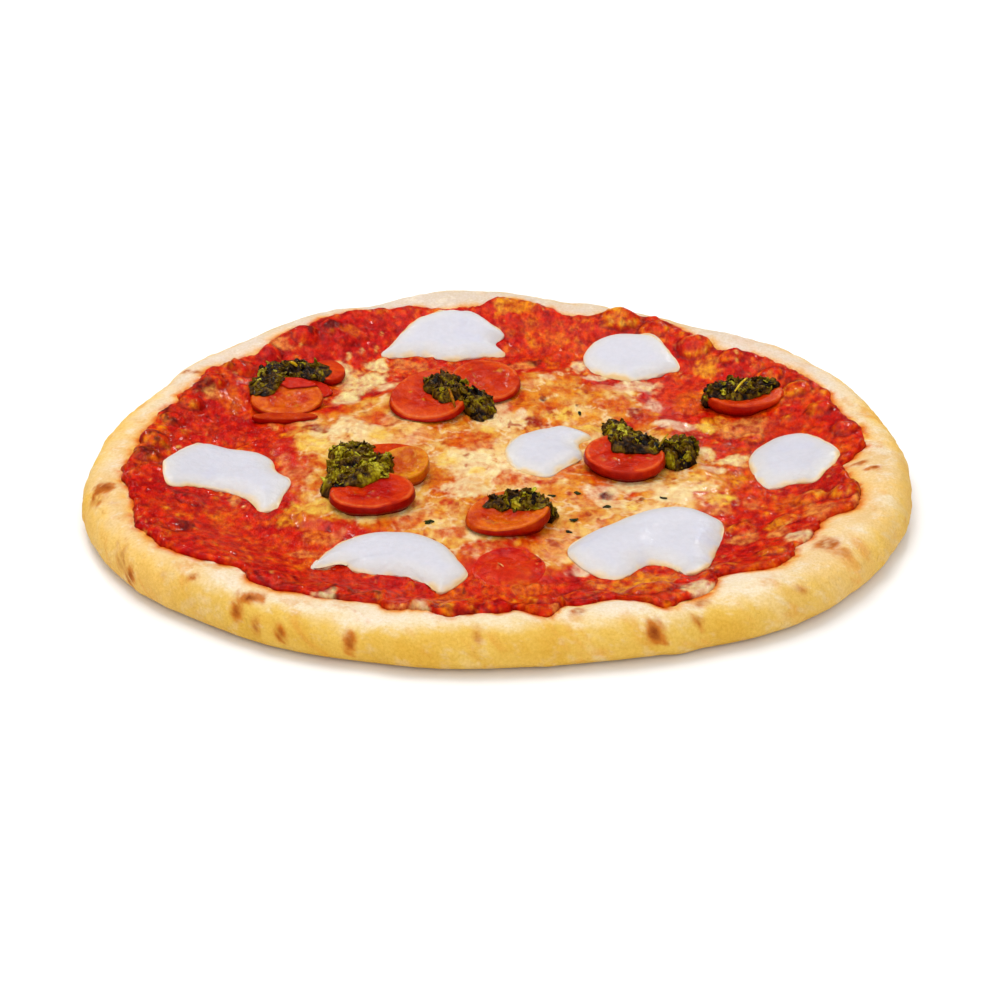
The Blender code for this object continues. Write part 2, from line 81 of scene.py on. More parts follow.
# Light: how much brighter than its own colour a level surface looks, and the strength of the sky.
EVEN_LIGHT = 1.12
VEIL = 0.014  # light that the gloss adds to a colour
DARKEST = 0.0006
SKY_LIGHT = 0.92
SKY_FROM = (-0.1, -0.5, 1.0)  # the way that its light comes from
SKY_RAMP = ((0.1, 0.05), (0.8, 1.0))  # share of facing that way, and how light the sky is there
LIGHTS = (  # name, place in the row frame's metres, size in metres and watts
    ("overhead", (-0.25, 0.3, 1.4), 1.0, 11.0),
    ("front", (0.2, -1.4, 0.9), 0.9, 7.0),
    ("glint_right", (0.4, 1.15, 0.75), 0.1, 3.0),
    ("glint_left", (-0.55, 1.1, 0.85), 0.1, 3.0),
)
FLOOR_HALF = 9.0  # metres
FLOOR_GREY = 0.88

# Marks on the sauce and cheese are longer from front to back than across, by this share.
MARK_SHARE = 0.62

# Crust: the outer edge and the rim in section, as in the solids.
CRUST_RADIUS = 158.0
EDGE_SWELLS = (  # angle, half width in degrees, millimetres out
    (100, 26, 7.0), (197, 20, 7.0), (218, 10, 3.0), (252, 9, -2.5), (281, 26, -8.0), (325, 26, 5.0),
    (158, 9, -3.4), (64, 12, -2.0), (36, 22, 5.0), (0, 28, 3.5),
)
DOUGH_BASE = 6.0
FLAT_RADIUS = 106.0
CREST_INSET = 12.5
RIM_HEIGHT = 16.5
RIM_BELLY = 6.5
FOOT_INSET = 7.0
CREST_SWELLS = (
    (98, 20, 2.0), (112, 5, -1.5), (124, 9, 2.5), (265, 30, -1.0), (215, 18, 1.5), (345, 18, 1.5),
    (60, 12, -2.0), (150, 10, 1.0),
)
COARSE_ANGLES = np.arange(112) * 360.0 / 112
CRUST_SPOKES = 900

# Tomato sauce: a thin layer that climbs the rim and ends in an uneven, lumpy edge.
SAUCE_INSET = 16.0  # how far its edge usually stays inside the crust's
SAUCE_TONGUES = (  # angle, half width in degrees, millimetres out
    (5, 4, 3.0), (32, 26, -2.0), (46, 4, -5.0), (62, 7, 8.0), (77, 5, -4.0), (98, 7, -8.0), (118, 6, 2.5),
    (142, 9, -2.5), (168, 12, -1.5), (211, 6, 5.0), (227, 3.5, -5.0), (234, 2.5, 2.5), (242, 5, -4.0),
    (250, 4, -8.0), (258, 2, -6.0), (262, 2.5, 4.0), (272, 3, -6.0), (277, 2.5, 4.0), (281, 2, -8.0),
    (288, 3.5, -12.0), (295, 3, 6.0), (309, 4, -14.0), (325, 6, -9.0), (333, 3, -8.0), (352, 6, -10.0),
)
SAUCE_SCALLOP = 2.0
SAUCE_ROUNDING = 3.0
SAUCE_SPOKES = 860
SAUCE_RINGS = 84
SAUCE_TOP = 8.0  # height of its flat middle
SAUCE_LUMPS = (  # angle, distance from the middle, radius and height of the large lumps
    (6, 140, 5.5, 2.0), (13, 106, 5.0, 1.5), (15, 137, 5.5, 2.2), (24, 136, 6.0, 2.0),
    (32, 136, 5.5, 2.2), (42, 135, 5.5, 2.0), (50, 133, 8.0, 2.8), (60, 138, 6.5, 2.0),
    (67, 140, 8.5, 3.0), (121, 129, 5.0, 1.5), (122, 137, 5.0, 2.0), (128, 136, 6.0, 2.2),
    (137, 134, 5.5, 2.4), (145, 133, 5.5, 2.0), (153, 133, 5.0, 2.2), (162, 132, 5.0, 2.0),
    (169, 134, 5.0, 2.0), (178, 137, 6.0, 2.6), (184, 138, 6.0, 2.6), (198, 124, 5.0, 1.2),
    (209, 140, 6.0, 1.5), (234, 134, 6.5, 1.5), (243, 126, 6.5, 2.0), (250, 120, 6.0, 2.2),
    (258, 128, 5.0, 1.8), (264, 129, 7.0, 2.4), (270, 128, 5.5, 1.8), (278, 122, 7.5, 2.8),
    (285, 114, 6.0, 2.2), (296, 124, 9.5, 3.0), (311, 124, 5.5, 2.0), (319, 133, 5.0, 2.0),
    (329, 108, 5.5, 1.8), (333, 122, 5.0, 2.0), (342, 126, 6.0, 2.2), (342, 139, 6.0, 2.6),
)
LUMP_OVERHANG = 2.6  # how far a lump may lie beyond the edge
GRAINS = 420  # finer lumps of pulp between the big ones
GRAIN_RADIUS = (1.3, 3.4)
GRAIN_HEIGHT = (0.25, 0.9)
GRAIN_SEED = 12

# Melted cheese.
CHEESE_MEAN = 90.0
CHEESE_RAGGED = 8.0
CHEESE_TOP = 9.6
CHEESE_BLISTER = 0.7
CHEESE_LIP = 6.0  # how far its thin edge runs out over the sauce
CHEESE_SPOKES = 640
CHEESE_RINGS = 118

# Fresh mozzarella: node, thickness, and its outline clockwise from its left end.
MOZZARELLA = (
    ("mozzarella_back", 4.0, (
        (-50, 103), (-47, 112), (-37, 128), (-27, 134), (-19, 135), (-9, 133), (-2, 127), (3, 121),
        (-1, 116), (3, 108), (-7, 105), (-19, 102), (-33, 105))),
    ("mozzarella_back_right", 3.6, (
        (37, 103), (41, 112), (48, 117), (56, 118), (65, 115), (71, 109), (75, 99), (78, 89), (71, 86),
        (58, 80), (48, 84), (40, 92))),
    ("mozzarella_left", 3.4, (
        (-131, -16), (-129, -5), (-124, 5), (-116, 13), (-105, 12), (-96, 9), (-90, 3), (-87, -8),
        (-81, -18), (-83, -29), (-85, -39), (-91, -42), (-97, -31), (-105, -25), (-116, -25), (-127, -30))),
    ("mozzarella_middle", 3.2, (
        (3, 10), (7, 20), (14, 27), (20, 30), (28, 31), (38, 21), (33, 15), (34, 3), (26, -7), (19, -14),
        (10, -10), (4, 0))),
    ("mozzarella_right", 3.4, (
        (100, -2), (103, 11), (112, 21), (120, 21), (127, 14), (135, -6), (129, -19), (123, -27),
        (115, -21), (105, -21))),
    ("mozzarella_front_left", 3.8, (
        (-68, -87), (-65, -78), (-60, -69), (-53, -64), (-45, -62), (-34, -62), (-26, -66), (-19, -73),
        (-15, -82), (-11, -93), (-20, -106), (-26, -99), (-36, -92), (-50, -91), (-57, -84))),
    ("mozzarella_front_right", 3.6, (
        (26, -80), (27, -72), (35, -62), (46, -53), (57, -44), (68, -41), (77, -42), (85, -50), (84, -64),
        (76, -92), (69, -95), (64, -86), (55, -84), (45, -95), (33, -91))),
)
MOZZARELLA_ROUNDING = 9.0
OUTLINE_STEPS = 24
SUNK = 0.5  # how deep the foot of a topping sinks into what it lies on

# Tomato pieces: node, middle, length, width, turn, height of the cut face over the bed at its middle,
# tilt of that face towards the front, tilt towards the right, how far the cut face is hollowed, and kind.
TOMATOES = (
    ("tomato_left_front", (-88.0, 56.0), 30.0, 24.0, 0.0, 4.2, 12.0, 0.0, 1.2, "orange"),
    ("tomato_left_under", (-88.0, 40.6), 27.0, 6.0, 1.0, 2.4, 0.0, 0.0, 0.0, "under"),
    ("tomato_left_back", (-83.5, 69.5), 27.0, 16.0, -4.0, 1.0, 6.0, 0.0, -0.6, "skin"),
    ("tomato_left_right", (-72.5, 84.0), 14.0, 16.0, -20.0, 3.6, 8.0, 6.0, -0.6, "red"),
    ("tomato_back_left", (-28.4, 50.5), 31.5, 33.0, 10.0, 6.0, 13.0, -4.0, 0.9, "red"),
    ("tomato_back_right", (-4.8, 69.5), 28.5, 31.0, 10.0, 4.6, 7.0, 4.0, 0.9, "red"),
    ("tomato_middle_front", (-48.0, -37.0), 33.0, 26.0, 12.0, 5.2, 4.0, 0.0, 1.6, "deep"),
    ("tomato_middle_right", (-37.0, -13.5), 21.0, 20.0, 24.0, 6.4, 12.0, -6.0, 1.8, "yellow"),
    ("tomato_middle_back", (-42.0, 3.0), 22.0, 9.0, -4.0, 3.6, 0.0, 0.0, 0.0, "red"),
    ("tomato_front", (4.0, -54.8), 31.0, 24.0, 6.0, 5.8, 10.0, -6.0, 1.4, "orange"),
    ("tomato_front_flat", (4.3, -87.4), 25.5, 26.0, 0.0, 1.2, 0.0, 0.0, 0.0, "flat"),
    ("tomato_right_middle", (50.4, -6.0), 31.0, 29.5, -6.0, 6.6, 6.0, 0.0, 1.0, "deep"),
    ("tomato_right_back", (102.6, 54.8), 32.0, 24.0, 4.0, 5.6, 4.0, 0.0, 1.2, "red"),
)
TOMATO_BELLY = 1.035
TOMATO_FOOT = 0.88

# Chopped basil: node, thickness, number of leaf flakes, how light it is, and its outline.
BASIL = (
    ("basil_left", 3.0, 70, 0.15, (
        (-104, 59), (-103, 72), (-99, 82), (-92, 88), (-84, 91), (-76, 88), (-71, 82), (-73, 76),
        (-82, 77), (-90, 72), (-93, 58), (-98, 55))),
    ("basil_back", 4.4, 80, 0.25, (
        (-31, 55), (-30, 61), (-25, 63), (-19, 60), (-14, 57), (-7, 58), (-1, 53), (-2, 43), (-8, 37),
        (-13, 43), (-16, 45), (-22, 44), (-27, 49))),
    ("basil_middle", 7.4, 130, 0.9, (
        (-69, -28), (-67, -20), (-67, -4), (-67, 8), (-60, 14), (-52, 9), (-48, -3), (-41, -12),
        (-42, -27), (-49, -33), (-56, -34), (-63, -36))),
    ("basil_front", 3.0, 60, 0.45, (
        (-5, -52), (-2, -47), (3, -46), (10, -44), (17, -43), (23, -46), (22, -53), (17, -57), (11, -56),
        (1, -54))),
    ("basil_right", 5.0, 80, 0.3, (
        (45, -3), (44, 13), (43, 30), (48, 37), (53, 28), (57, 20), (66, 13), (66, -2), (62, -8),
        (54, -7), (48, -6))),
    ("basil_right_end", 7.0, 60, 0.35, (
        (65, -4), (66, 5), (68, 12), (74, 16), (79, 15), (80, 7), (78, -3), (72, -8))),
    ("basil_right_back", 4.2, 80, 0.2, (
        (85, 53), (87, 61), (94, 62), (106, 64), (114, 65), (118, 61), (112, 53), (102, 47), (92, 48))),
)
BASIL_CRAG = 0.3
BASIL_FOOT = 0.92  # breadth of a clump's foot, as a share of its outline
LEAF_THICKNESS = 0.28
LEVEL_REACH = 6.0  # how far round a point its bed is evened out

HERB_FLECKS = (  # middle and length
    ((-26.0, -53.0), 5.0), ((21.0, -31.0), 3.2), ((29.0, -52.0), 3.4), ((27.0, -60.0), 3.0),
    ((42.0, -40.0), 3.4), ((31.0, -29.0), 2.8), ((64.0, -34.0), 3.0), ((-34.0, 6.0), 2.6),
    ((34.0, 44.0), 3.0), ((-64.0, 8.0), 2.6),
)

# Scorched spots of the crust: column, row, half width and half height in pixels, and strength.
SCORCHES = (
    (105, 487, 9, 8, 0.75), (98, 500, 8, 10, 0.4), (250, 598, 13, 6, 0.95), (236, 611, 7, 10, 0.6),
    (256, 625, 5, 8, 0.4), (130, 577, 5, 8, 0.75), (122, 560, 9, 9, 0.25), (858, 463, 8, 3, 0.6),
    (875, 467, 8, 4, 1.0), (828, 545, 12, 9, 0.55), (845, 552, 10, 7, 0.3), (653, 633, 8, 8, 0.9),
    (192, 577, 6, 4, 0.5), (350, 641, 6, 9, 0.6), (280, 634, 6, 7, 0.5), (476, 638, 6, 9, 0.4),
    (196, 372, 9, 4, 0.5), (187, 371, 5, 4, 0.6), (578, 611, 6, 7, 0.5), (800, 590, 12, 6, 0.3),
    (700, 603, 7, 5, 0.35), (700, 620, 5, 4, 0.35), (163, 575, 5, 4, 0.2), (792, 530, 7, 3, 0.6),
)

# Stems among the leaves: columns and rows of both ends, radius in millimetres and colour.
STEMS = (
    (735, 391, 747, 378, 0.55, (222, 196, 60)),
    (449, 389, 455, 407, 0.8, (156, 100, 26)),
    (289, 362, 297, 366, 0.8, (200, 160, 36)),
    (659, 447, 668, 434, 0.5, (170, 140, 40)),
    (498, 563, 505, 569, 0.3, (228, 170, 110)),
    (355, 452, 364, 462, 0.5, (176, 170, 50)),
)
STEM_FIRST_HEIGHT = 14.0
STEM_LEAN = 0.7  # how much of a stem's reach up the photograph is height and not depth

# Streaks and blots of the cheese and sauce, and two patches of painted shadow by tomatoes: column, row, half
# width and half height in pixels, and kind.
PATCHES = (
    (484, 441, 15, 9, "rust"), (345, 580, 17, 9, "red"), (390, 593, 12, 7, "red"),
    (655, 578, 24, 8, "orange"), (338, 352, 8, 5, "cream"), (363, 384, 24, 15, "cream"),
    (378, 368, 14, 5, "cream"), (345, 398, 14, 7, "cream"), (363, 373, 9, 4, "rust"),
    (348, 409, 5, 3, "rust"), (369, 405, 4, 3, "rust"), (356, 420, 6, 4, "orange"),
    (379, 419, 10, 6, "red"), (358, 430, 20, 5, "cream"), (379, 435, 9, 5, "gold"),
    (322, 432, 13, 8, "cream"), (308, 442, 13, 8, "gold"), (392, 421, 8, 6, "pink"),
    (401, 439, 8, 8, "pink"), (420, 437, 14, 8, "pink"), (459, 439, 18, 9, "rust"),
    (471, 446, 12, 7, "rust"), (300, 420, 20, 6, "pink"), (312, 426, 12, 4, "deep"),
    (303, 463, 16, 7, "red"), (288, 472, 9, 7, "pink"), (292, 488, 9, 7, "red"),
    (312, 486, 11, 4, "rust"), (318, 507, 22, 9, "gold"), (296, 514, 12, 7, "orange"),
    (345, 422, 7, 5, "cream"), (465, 465, 18, 11, "cream"), (450, 459, 12, 6, "gold"),
    (439, 481, 10, 5, "rust"), (468, 488, 18, 9, "cream"), (446, 502, 9, 3, "red"),
    # The orange patch at column 427, row 474 is painted shadow beside tomato_middle_right.
    (465, 501, 8, 2, "orange"), (427, 474, 6, 10, "orange"), (420, 516, 18, 6, "pink"),
    (398, 523, 20, 6, "rust"), (313, 520, 9, 6, "rust"), (341, 525, 14, 5, "red"),
    (324, 538, 14, 5, "pink"), (454, 533, 12, 8, "rust"), (466, 555, 9, 12, "red"),
    (440, 515, 8, 4, "orange"), (535, 363, 9, 4, "brown"), (552, 367, 7, 4, "rust"),
    (509, 365, 3, 2, "brown"), (540, 352, 28, 5, "red"), (494, 357, 15, 4, "rust"),
    (577, 372, 9, 3, "red"), (529, 383, 9, 4, "pink"), (545, 376, 8, 3, "cream"),
    (558, 389, 9, 5, "rust"), (567, 392, 10, 6, "orange"), (551, 405, 12, 4, "rust"),
    (522, 406, 9, 2, "rust"), (543, 397, 4, 3, "brown"), (577, 405, 2, 2, "brown"),
    (585, 418, 15, 7, "orange"), (615, 405, 22, 8, "rust"), (636, 412, 7, 5, "deep"),
    (595, 429, 13, 5, "gold"), (562, 415, 20, 5, "gold"), (533, 421, 9, 6, "deep"),
    (500, 416, 19, 13, "cream"), (521, 414, 7, 6, "pale"), (489, 429, 8, 4, "gold"),
    (491, 466, 5, 3, "orange"), (479, 462, 18, 10, "cream"), (515, 480, 14, 6, "rust"),
    (541, 479, 12, 5, "pink"), (545, 482, 10, 2, "red"), (566, 474, 9, 6, "rust"),
    (569, 491, 24, 7, "orange"), (588, 502, 14, 4, "pink"), (603, 493, 14, 6, "pale"),
    (636, 387, 26, 7, "pale"), (655, 404, 9, 8, "pale"), (605, 386, 14, 5, "pink"),
    (670, 400, 15, 21, "red"), (690, 402, 13, 11, "rust"), (684, 417, 20, 4, "red"),
    (673, 424, 22, 4, "pale"), (716, 424, 15, 7, "orange"), (706, 428, 9, 4, "gold"),
    (745, 428, 24, 11, "pink"), (721, 452, 9, 5, "red"), (709, 451, 9, 6, "cream"),
    (736, 461, 17, 5, "cream"), (721, 476, 28, 9, "orange"), (712, 467, 16, 3, "pale"),
    (697, 478, 9, 4, "gold"), (606, 496, 6, 3, "brown"), (642, 500, 3, 2, "brown"),
    (670, 497, 20, 5, "cream"), (640, 487, 22, 6, "cream"), (618, 504, 16, 4, "cream"),
    (633, 506, 6, 4, "gold"), (705, 493, 9, 2, "rust"), (727, 508, 5, 4, "rust"), (742, 502, 6, 4, "red"),
    (751, 504, 6, 6, "pink"), (718, 500, 12, 5, "gold"), (700, 496, 8, 4, "rust"),
    (779, 428, 14, 10, "red"), (751, 489, 12, 8, "red"), (820, 510, 15, 5, "pink"),
    (752, 470, 7, 9, "rust"), (560, 540, 12, 6, "pink"), (556, 555, 10, 6, "pink"),
    (520, 366, 13, 6, "pink"), (580, 367, 9, 6, "pale"), (600, 379, 12, 4, "pale"),
    # The red patch at column 485, row 547 is painted shadow in front of tomato_front.
    (403, 366, 12, 6, "pink"), (421, 368, 8, 5, "pink"), (485, 547, 24, 6, "red"),
    (441, 535, 9, 5, "rust"), (601, 523, 9, 4, "rust"), (580, 571, 7, 5, "pale"),
    (283, 457, 8, 8, "pink"), (720, 511, 11, 5, "pink"), (520, 403, 9, 5, "orange"),
    (700, 588, 12, 8, "pale"), (718, 584, 8, 5, "pale"), (420, 606, 11, 4, "pale"),
    (401, 606, 10, 4, "pink"), (320, 594, 11, 4, "pale"), (800, 534, 10, 4, "pale"),
    (780, 534, 9, 4, "pink"), (280, 342, 9, 4, "pink"), (560, 606, 9, 3, "pink"),
    (858, 499, 6, 5, "pink"), (480, 470, 8, 3, "gold"), (235, 500, 6, 8, "pink"),
    (320, 535, 9, 6, "rust"), (300, 555, 14, 4, "pink"), (625, 590, 14, 7, "orange"),
    (660, 585, 9, 6, "rust"), (600, 586, 8, 3, "pink"), (535, 590, 18, 8, "rust"),
    (455, 595, 12, 9, "rust"), (464, 591, 2, 3, "brown"), (147, 448, 9, 6, "brown"),
    (140, 434, 8, 5, "deep"), (205, 381, 9, 4, "brown"), (163, 408, 6, 3, "brown"),
    (185, 525, 7, 5, "brown"), (350, 330, 12, 4, "rust"), (310, 352, 10, 5, "orange"),
    (230, 400, 12, 8, "rust"), (215, 392, 8, 4, "pink"), (515, 304, 22, 6, "orange"),
    (490, 338, 8, 4, "deep"), (700, 365, 10, 6, "orange"), (708, 374, 7, 3, "orange"),
    (790, 500, 12, 5, "rust"), (745, 540, 12, 6, "pink"), (775, 525, 8, 4, "orange"),
)
PATCH_COLOURS = {  # colour and strength
    "deep": ((152, 28, 12), 0.9),
    "red": ((200, 46, 20), 0.9),
    "rust": ((207, 80, 25), 0.85),
    "orange": ((218, 120, 38), 0.85),
    "gold": ((234, 186, 80), 0.8),
    "cream": ((233, 203, 150), 0.9),
    "pale": ((233, 205, 168), 0.75),
    "pink": ((220, 126, 76), 0.65),
    "brown": ((92, 24, 8), 0.9),
}

# Colours as they look on screen, from 0 to 255. The rows of a ramp are a value and its colour.
CRUST_RAMP = (
    (-0.2, (247, 229, 200)), (0.1, (246, 226, 186)), (0.45, (242, 209, 140)), (0.75, (237, 194, 94)),
    (1.2, (230, 180, 74)),
)
CRUST_GOLDEN = (238, 197, 130)
CRUST_PALE = (231, 212, 193)
CRUST_WARM = (226, 152, 62)
CRUST_FLOUR = (248, 236, 212)
CRUST_OILY = (242, 182, 78)
CRUST_STAINED = (226, 112, 38)
SCORCH_EDGE = (204, 112, 38)
SCORCH_CORE = (142, 64, 20)
SAUCE_RAMP = (
    (-0.15, (154, 24, 8)), (0.1, (180, 32, 12)), (0.3, (199, 41, 15)), (0.5, (205, 56, 18)),
    (0.7, (211, 84, 24)), (0.92, (217, 114, 38)), (1.2, (226, 154, 76)),
)
# Dark red of the sauce's veins and specks, and its painted shade round the lumps.
SAUCE_DARK_AND_SHADE = (118, 20, 6)
SAUCE_CHARRED = (84, 20, 8)
SAUCE_BITS = (232, 160, 92)
CHEESE_RAMP = (
    (0.0, (236, 206, 152)), (0.22, (230, 181, 110)), (0.4, (219, 146, 66)), (0.6, (214, 114, 38)),
    (0.78, (205, 78, 22)), (1.0, (201, 52, 21)),
)
CHEESE_GOLD = (238, 188, 84)
CHEESE_STREAK = (240, 212, 168)
CHEESE_SEAM = (206, 88, 30)
CHEESE_VEIN = (204, 92, 34)
CHEESE_SPOT = (170, 56, 18)
MOZZARELLA_RAMP = (
    (-0.3, (226, 190, 134)), (0.6, (227, 209, 180)), (1.8, (212, 208, 205)), (8.0, (207, 205, 213)),
)
# Grey-blue painted shade of folds in the slices.
MOZZARELLA_FOLD_SHADE = (202, 201, 215)
TOMATO_COLOURS = {  # flesh, pulp, skin
    "orange": ((209, 84, 18), (184, 44, 12), (164, 38, 12)),
    "yellow": ((208, 108, 18), (190, 70, 12), (190, 80, 14)),
    "red": ((204, 62, 16), (188, 46, 14), (164, 36, 14)),
    "deep": ((202, 54, 16), (172, 32, 12), (142, 26, 12)),
    "skin": ((190, 42, 18), (168, 32, 14), (150, 28, 12)),
    "flat": ((201, 50, 22), (182, 34, 21), (196, 46, 22)),
    "under": ((184, 54, 20), (168, 38, 16), (158, 34, 14)),
}
SEED_GOLD = (226, 140, 50)
# The cut rim: the paler flesh wall with a painted highlight.
CUT_RIM_WALL_AND_HIGHLIGHT = (226, 120, 56)
PALER_FLESH = (1.1, 1.9, 1.3)  # what the flesh is multiplied by where it is palest
# From near black to yellow-green: the core's creases and ridges take its ends as painted shade and
# highlight, and the flakes take random tones along it.
BASIL_TONE_AND_SHADE_RAMP = (
    (0.0, (26, 20, 3)), (0.28, (52, 38, 4)), (0.48, (92, 66, 6)), (0.66, (120, 100, 8)),
    (0.85, (156, 142, 24)), (1.05, (204, 196, 72)),
)
HERB_RAMP = ((-1.0, (18, 22, 6)), (1.0, (60, 66, 14)))

NOISE_TABLES = [np.random.default_rng(seed).random((64, 64)) for seed in range(6)]


def swell(angle, swells):
    """Sum of the named swells round the rim, at angles in degrees."""
    total = np.zeros_like(angle, dtype=float)
    for middle, half_width, height in swells:
        off = (angle - middle + 180.0) % 360.0 - 180.0
        total += height * np.exp(-((off / half_width) ** 2))
    return total


def noise(x, y, size, table):
    """Smooth noise from -1 to 1 whose patches are size millimetres wide."""
    values = NOISE_TABLES[table]
    count = len(values)
    u, v = np.asarray(x, float) / size, np.asarray(y, float) / size
    i, j = np.floor(u).astype(int), np.floor(v).astype(int)
    fu, fv = smoothed(u - i), smoothed(v - j)
    low = values[i % count, j % count] * (1 - fu) + values[(i + 1) % count, j % count] * fu
    high = values[i % count, (j + 1) % count] * (1 - fu) + values[(i + 1) % count, (j + 1) % count] * fu
    return 2.0 * (low * (1 - fv) + high * fv) - 1.0


def cloud(x, y, size, seed, octaves=4, fall=0.55):
    """Cloudy noise from about -1 to 1: layers of noise, each finer and turned against the last."""
    total, weight, strength = 0.0, 0.0, 1.0
    for k in range(octaves):
        turn = 0.6 + 1.1 * k + seed
        u = x * math.cos(turn) - y * math.sin(turn) + 31.7 * seed
        v = x * math.sin(turn) + y * math.cos(turn) - 17.3 * seed
        total = total + strength * noise(u, v, size / 2**k, (seed + k) % len(NOISE_TABLES))
        weight += strength
        strength *= fall
    return total / weight * 1.6


def smoothed(t):
    """The S-curve through 0 and 1."""
    return t * t * (3 - 2 * t)


def smooth(t):
    """Eases from 0 to 1 as t goes from 0 to 1."""
    return smoothed(np.clip(t, 0.0, 1.0))


def hump(off, width):
    """1 where off is 0, fading out over about that width."""
    return np.exp(-((off / width) ** 2))


def on_circle(radius, angle):
    turn = np.radians(angle)
    return radius * np.cos(turn), radius * np.sin(turn)


def polar(x, y):
    """Distance from the middle, and angle in degrees."""
    return np.hypot(x, y), np.degrees(np.arctan2(y, x))


def stack(x, y, z):
    return np.stack([x, y, np.broadcast_to(z, x.shape)], axis=-1)


def spokes(count):
    """Angles of evenly spaced points round the pizza."""
    return np.arange(count) * 360.0 / count


def ring(radius, angle, height):
    """Points round the middle of the pizza."""
    return stack(*on_circle(radius, angle), height)


def crust_radius(angle):
    x, y = on_circle(CRUST_RADIUS, angle)
    return CRUST_RADIUS + swell(angle, EDGE_SWELLS) + 1.2 * noise(x, y, 34.0, 0)


def box_middle():
    """Middle of the box round the crust, which is the row frame's origin."""
    x, y = on_circle(crust_radius(COARSE_ANGLES), COARSE_ANGLES)
    return np.array([x.min() + x.max(), y.min() + y.max(), 0.0]) / 2.0


def move_in(points):
    """Design millimetres to the row frame's metres."""
    return (np.asarray(points, float) - box_middle()) * MM


def seen(column, row, height):
    """The place, at that height, of a pixel of the photograph."""
    across, down = (column - PHOTO_MIDDLE) / FOCAL_PIXELS, (row - PHOTO_MIDDLE) / FOCAL_PIXELS
    ray = -CAMERA_BACK + across * np.array([1.0, 0.0, 0.0]) - down * CAMERA_UP
    return CAMERA_PLACE + ray * (height - CAMERA_PLACE[2]) / ray[2]


def crest_height(angle):
    x, y = on_circle(CRUST_RADIUS, angle)
    return RIM_HEIGHT + swell(angle, CREST_SWELLS) + 1.0 * noise(x, y, 26.0, 1)


def dough_top(radius, angle):
    """Height of the dough inside the crest of the rim."""
    crest = crust_radius(angle) - CREST_INSET
    rise = smooth((radius - FLAT_RADIUS) / (crest - FLAT_RADIUS))
    return DOUGH_BASE + (crest_height(angle) - DOUGH_BASE) * rise


def sauce_reach(angle):
    outer = crust_radius(angle)
    x, y = on_circle(outer, angle)
    ragged = SAUCE_SCALLOP * noise(x, y, 11.0, 2)
    most = outer - 0.6 * CREST_INSET
    return np.minimum(outer - SAUCE_INSET + swell(angle, SAUCE_TONGUES) + ragged, most)


def ragged_reach(angle):
    """The sauce's edge with its fine drips and the lumps that lie across it."""
    x, y = on_circle(CRUST_RADIUS, angle)
    reach = sauce_reach(angle)
    edge = reach - 0.8 + 1.2 * cloud(x, y, 5.0, 1, 3)
    for at_x, at_y, size, _ in LUMPS:
        middle, turn = math.hypot(at_x, at_y), math.degrees(math.atan2(at_y, at_x))
        off = np.radians((angle - turn + 180.0) % 360.0 - 180.0)
        across = middle * np.sin(off)
        far = middle * np.cos(off) + np.sqrt(np.maximum(size**2 - across**2, 0.0))
        lies = (np.abs(across) < size) & (np.cos(off) > 0.0)
        edge = np.where(lies, np.maximum(edge, np.minimum(far, reach + LUMP_OVERHANG)), edge)
    return edge


def cheese_reach(angle):
    x, y = on_circle(CHEESE_MEAN, angle)
    return CHEESE_MEAN + CHEESE_RAGGED * noise(x, y, 22.0, 3)


def sauce_lumps():
    """The large lumps of tomato along the outer edge of the sauce: x, y, radius and height."""
    for angle, radius, size, tall in SAUCE_LUMPS:
        x, y = on_circle(radius, angle)
        yield float(x), float(y), size, tall


def sauce_grains():
    """Small lumps of pulp, denser towards the sauce's edge."""
    draw = np.random.default_rng(GRAIN_SEED)
    grains = []
    for _ in range(GRAINS):
        angle = np.array(draw.uniform(0.0, 360.0))
        reach, inner = sauce_reach(angle), cheese_reach(angle)
        x, y = on_circle(reach - (reach - inner) * draw.uniform(0.0, 1.0) ** 1.7 - 1.0, angle)
        grains.append((float(x), float(y), draw.uniform(*GRAIN_RADIUS), draw.uniform(*GRAIN_HEIGHT)))
    return grains


LUMPS = list(sauce_lumps())
PULP = sauce_grains()


def bump(x, y, lumps):
    """Height of the round lumps at each point."""
    total = np.zeros(np.broadcast(x, y).shape)
    for at_x, at_y, size, tall in lumps:
        off = (x - at_x) ** 2 + (y - at_y) ** 2
        close = off < size**2
        near = 1.0 - off[close] / size**2
        total[close] += tall * np.sqrt(near) * near**0.25
    return total


def sauce_top(x, y):
    """Height of the sauce: flat in the middle, then it follows the rim under lumps and pulp."""
    radius, angle = polar(x, y)
    outer = smooth((radius - cheese_reach(angle) - 2.0) / 8.0)
    height = dough_top(radius, angle) + (SAUCE_TOP - DOUGH_BASE)
    height = height + 0.5 * outer * noise(x, y, 9.0, 4) + outer * bump(x, y, LUMPS + PULP)
    return height + 0.34 * cloud(x, y, 4.0, 2, 3) + 0.16 * cloud(x, y, 1.6, 3, 2)


def laid(column, row):
    """The place on the sauce or cheese that a pixel of the photograph shows."""
    height = CHEESE_TOP
    for _ in range(6):
        x, y, _ = seen(column, row, height)
        here = np.array([x]), np.array([y])
        height = float(sauce_top(*here)[0]) if math.hypot(x, y) > CHEESE_MEAN else CHEESE_TOP
    return x, y


def cheese_top(x, y):
    """Height of the cheese. It thins out into the sauce at its edge."""
    radius, angle = polar(x, y)
    full = CHEESE_TOP + CHEESE_BLISTER * noise(x, y, 12.0, 5)
    full = full + 0.3 * cloud(x, y, 5.0, 4, 3) + 0.08 * cloud(x, y, 1.6, 2, 2)
    inward = (cheese_reach(angle) + 5.0 - radius) / 14.0 + 0.25 * cloud(x, y, 9.0, 5, 3)
    under = sauce_top(x, y) - 0.25
    return under + (np.maximum(full, under + 0.3) - under) * smooth(inward)


# Meshes. Each is a pair: its points and its faces.


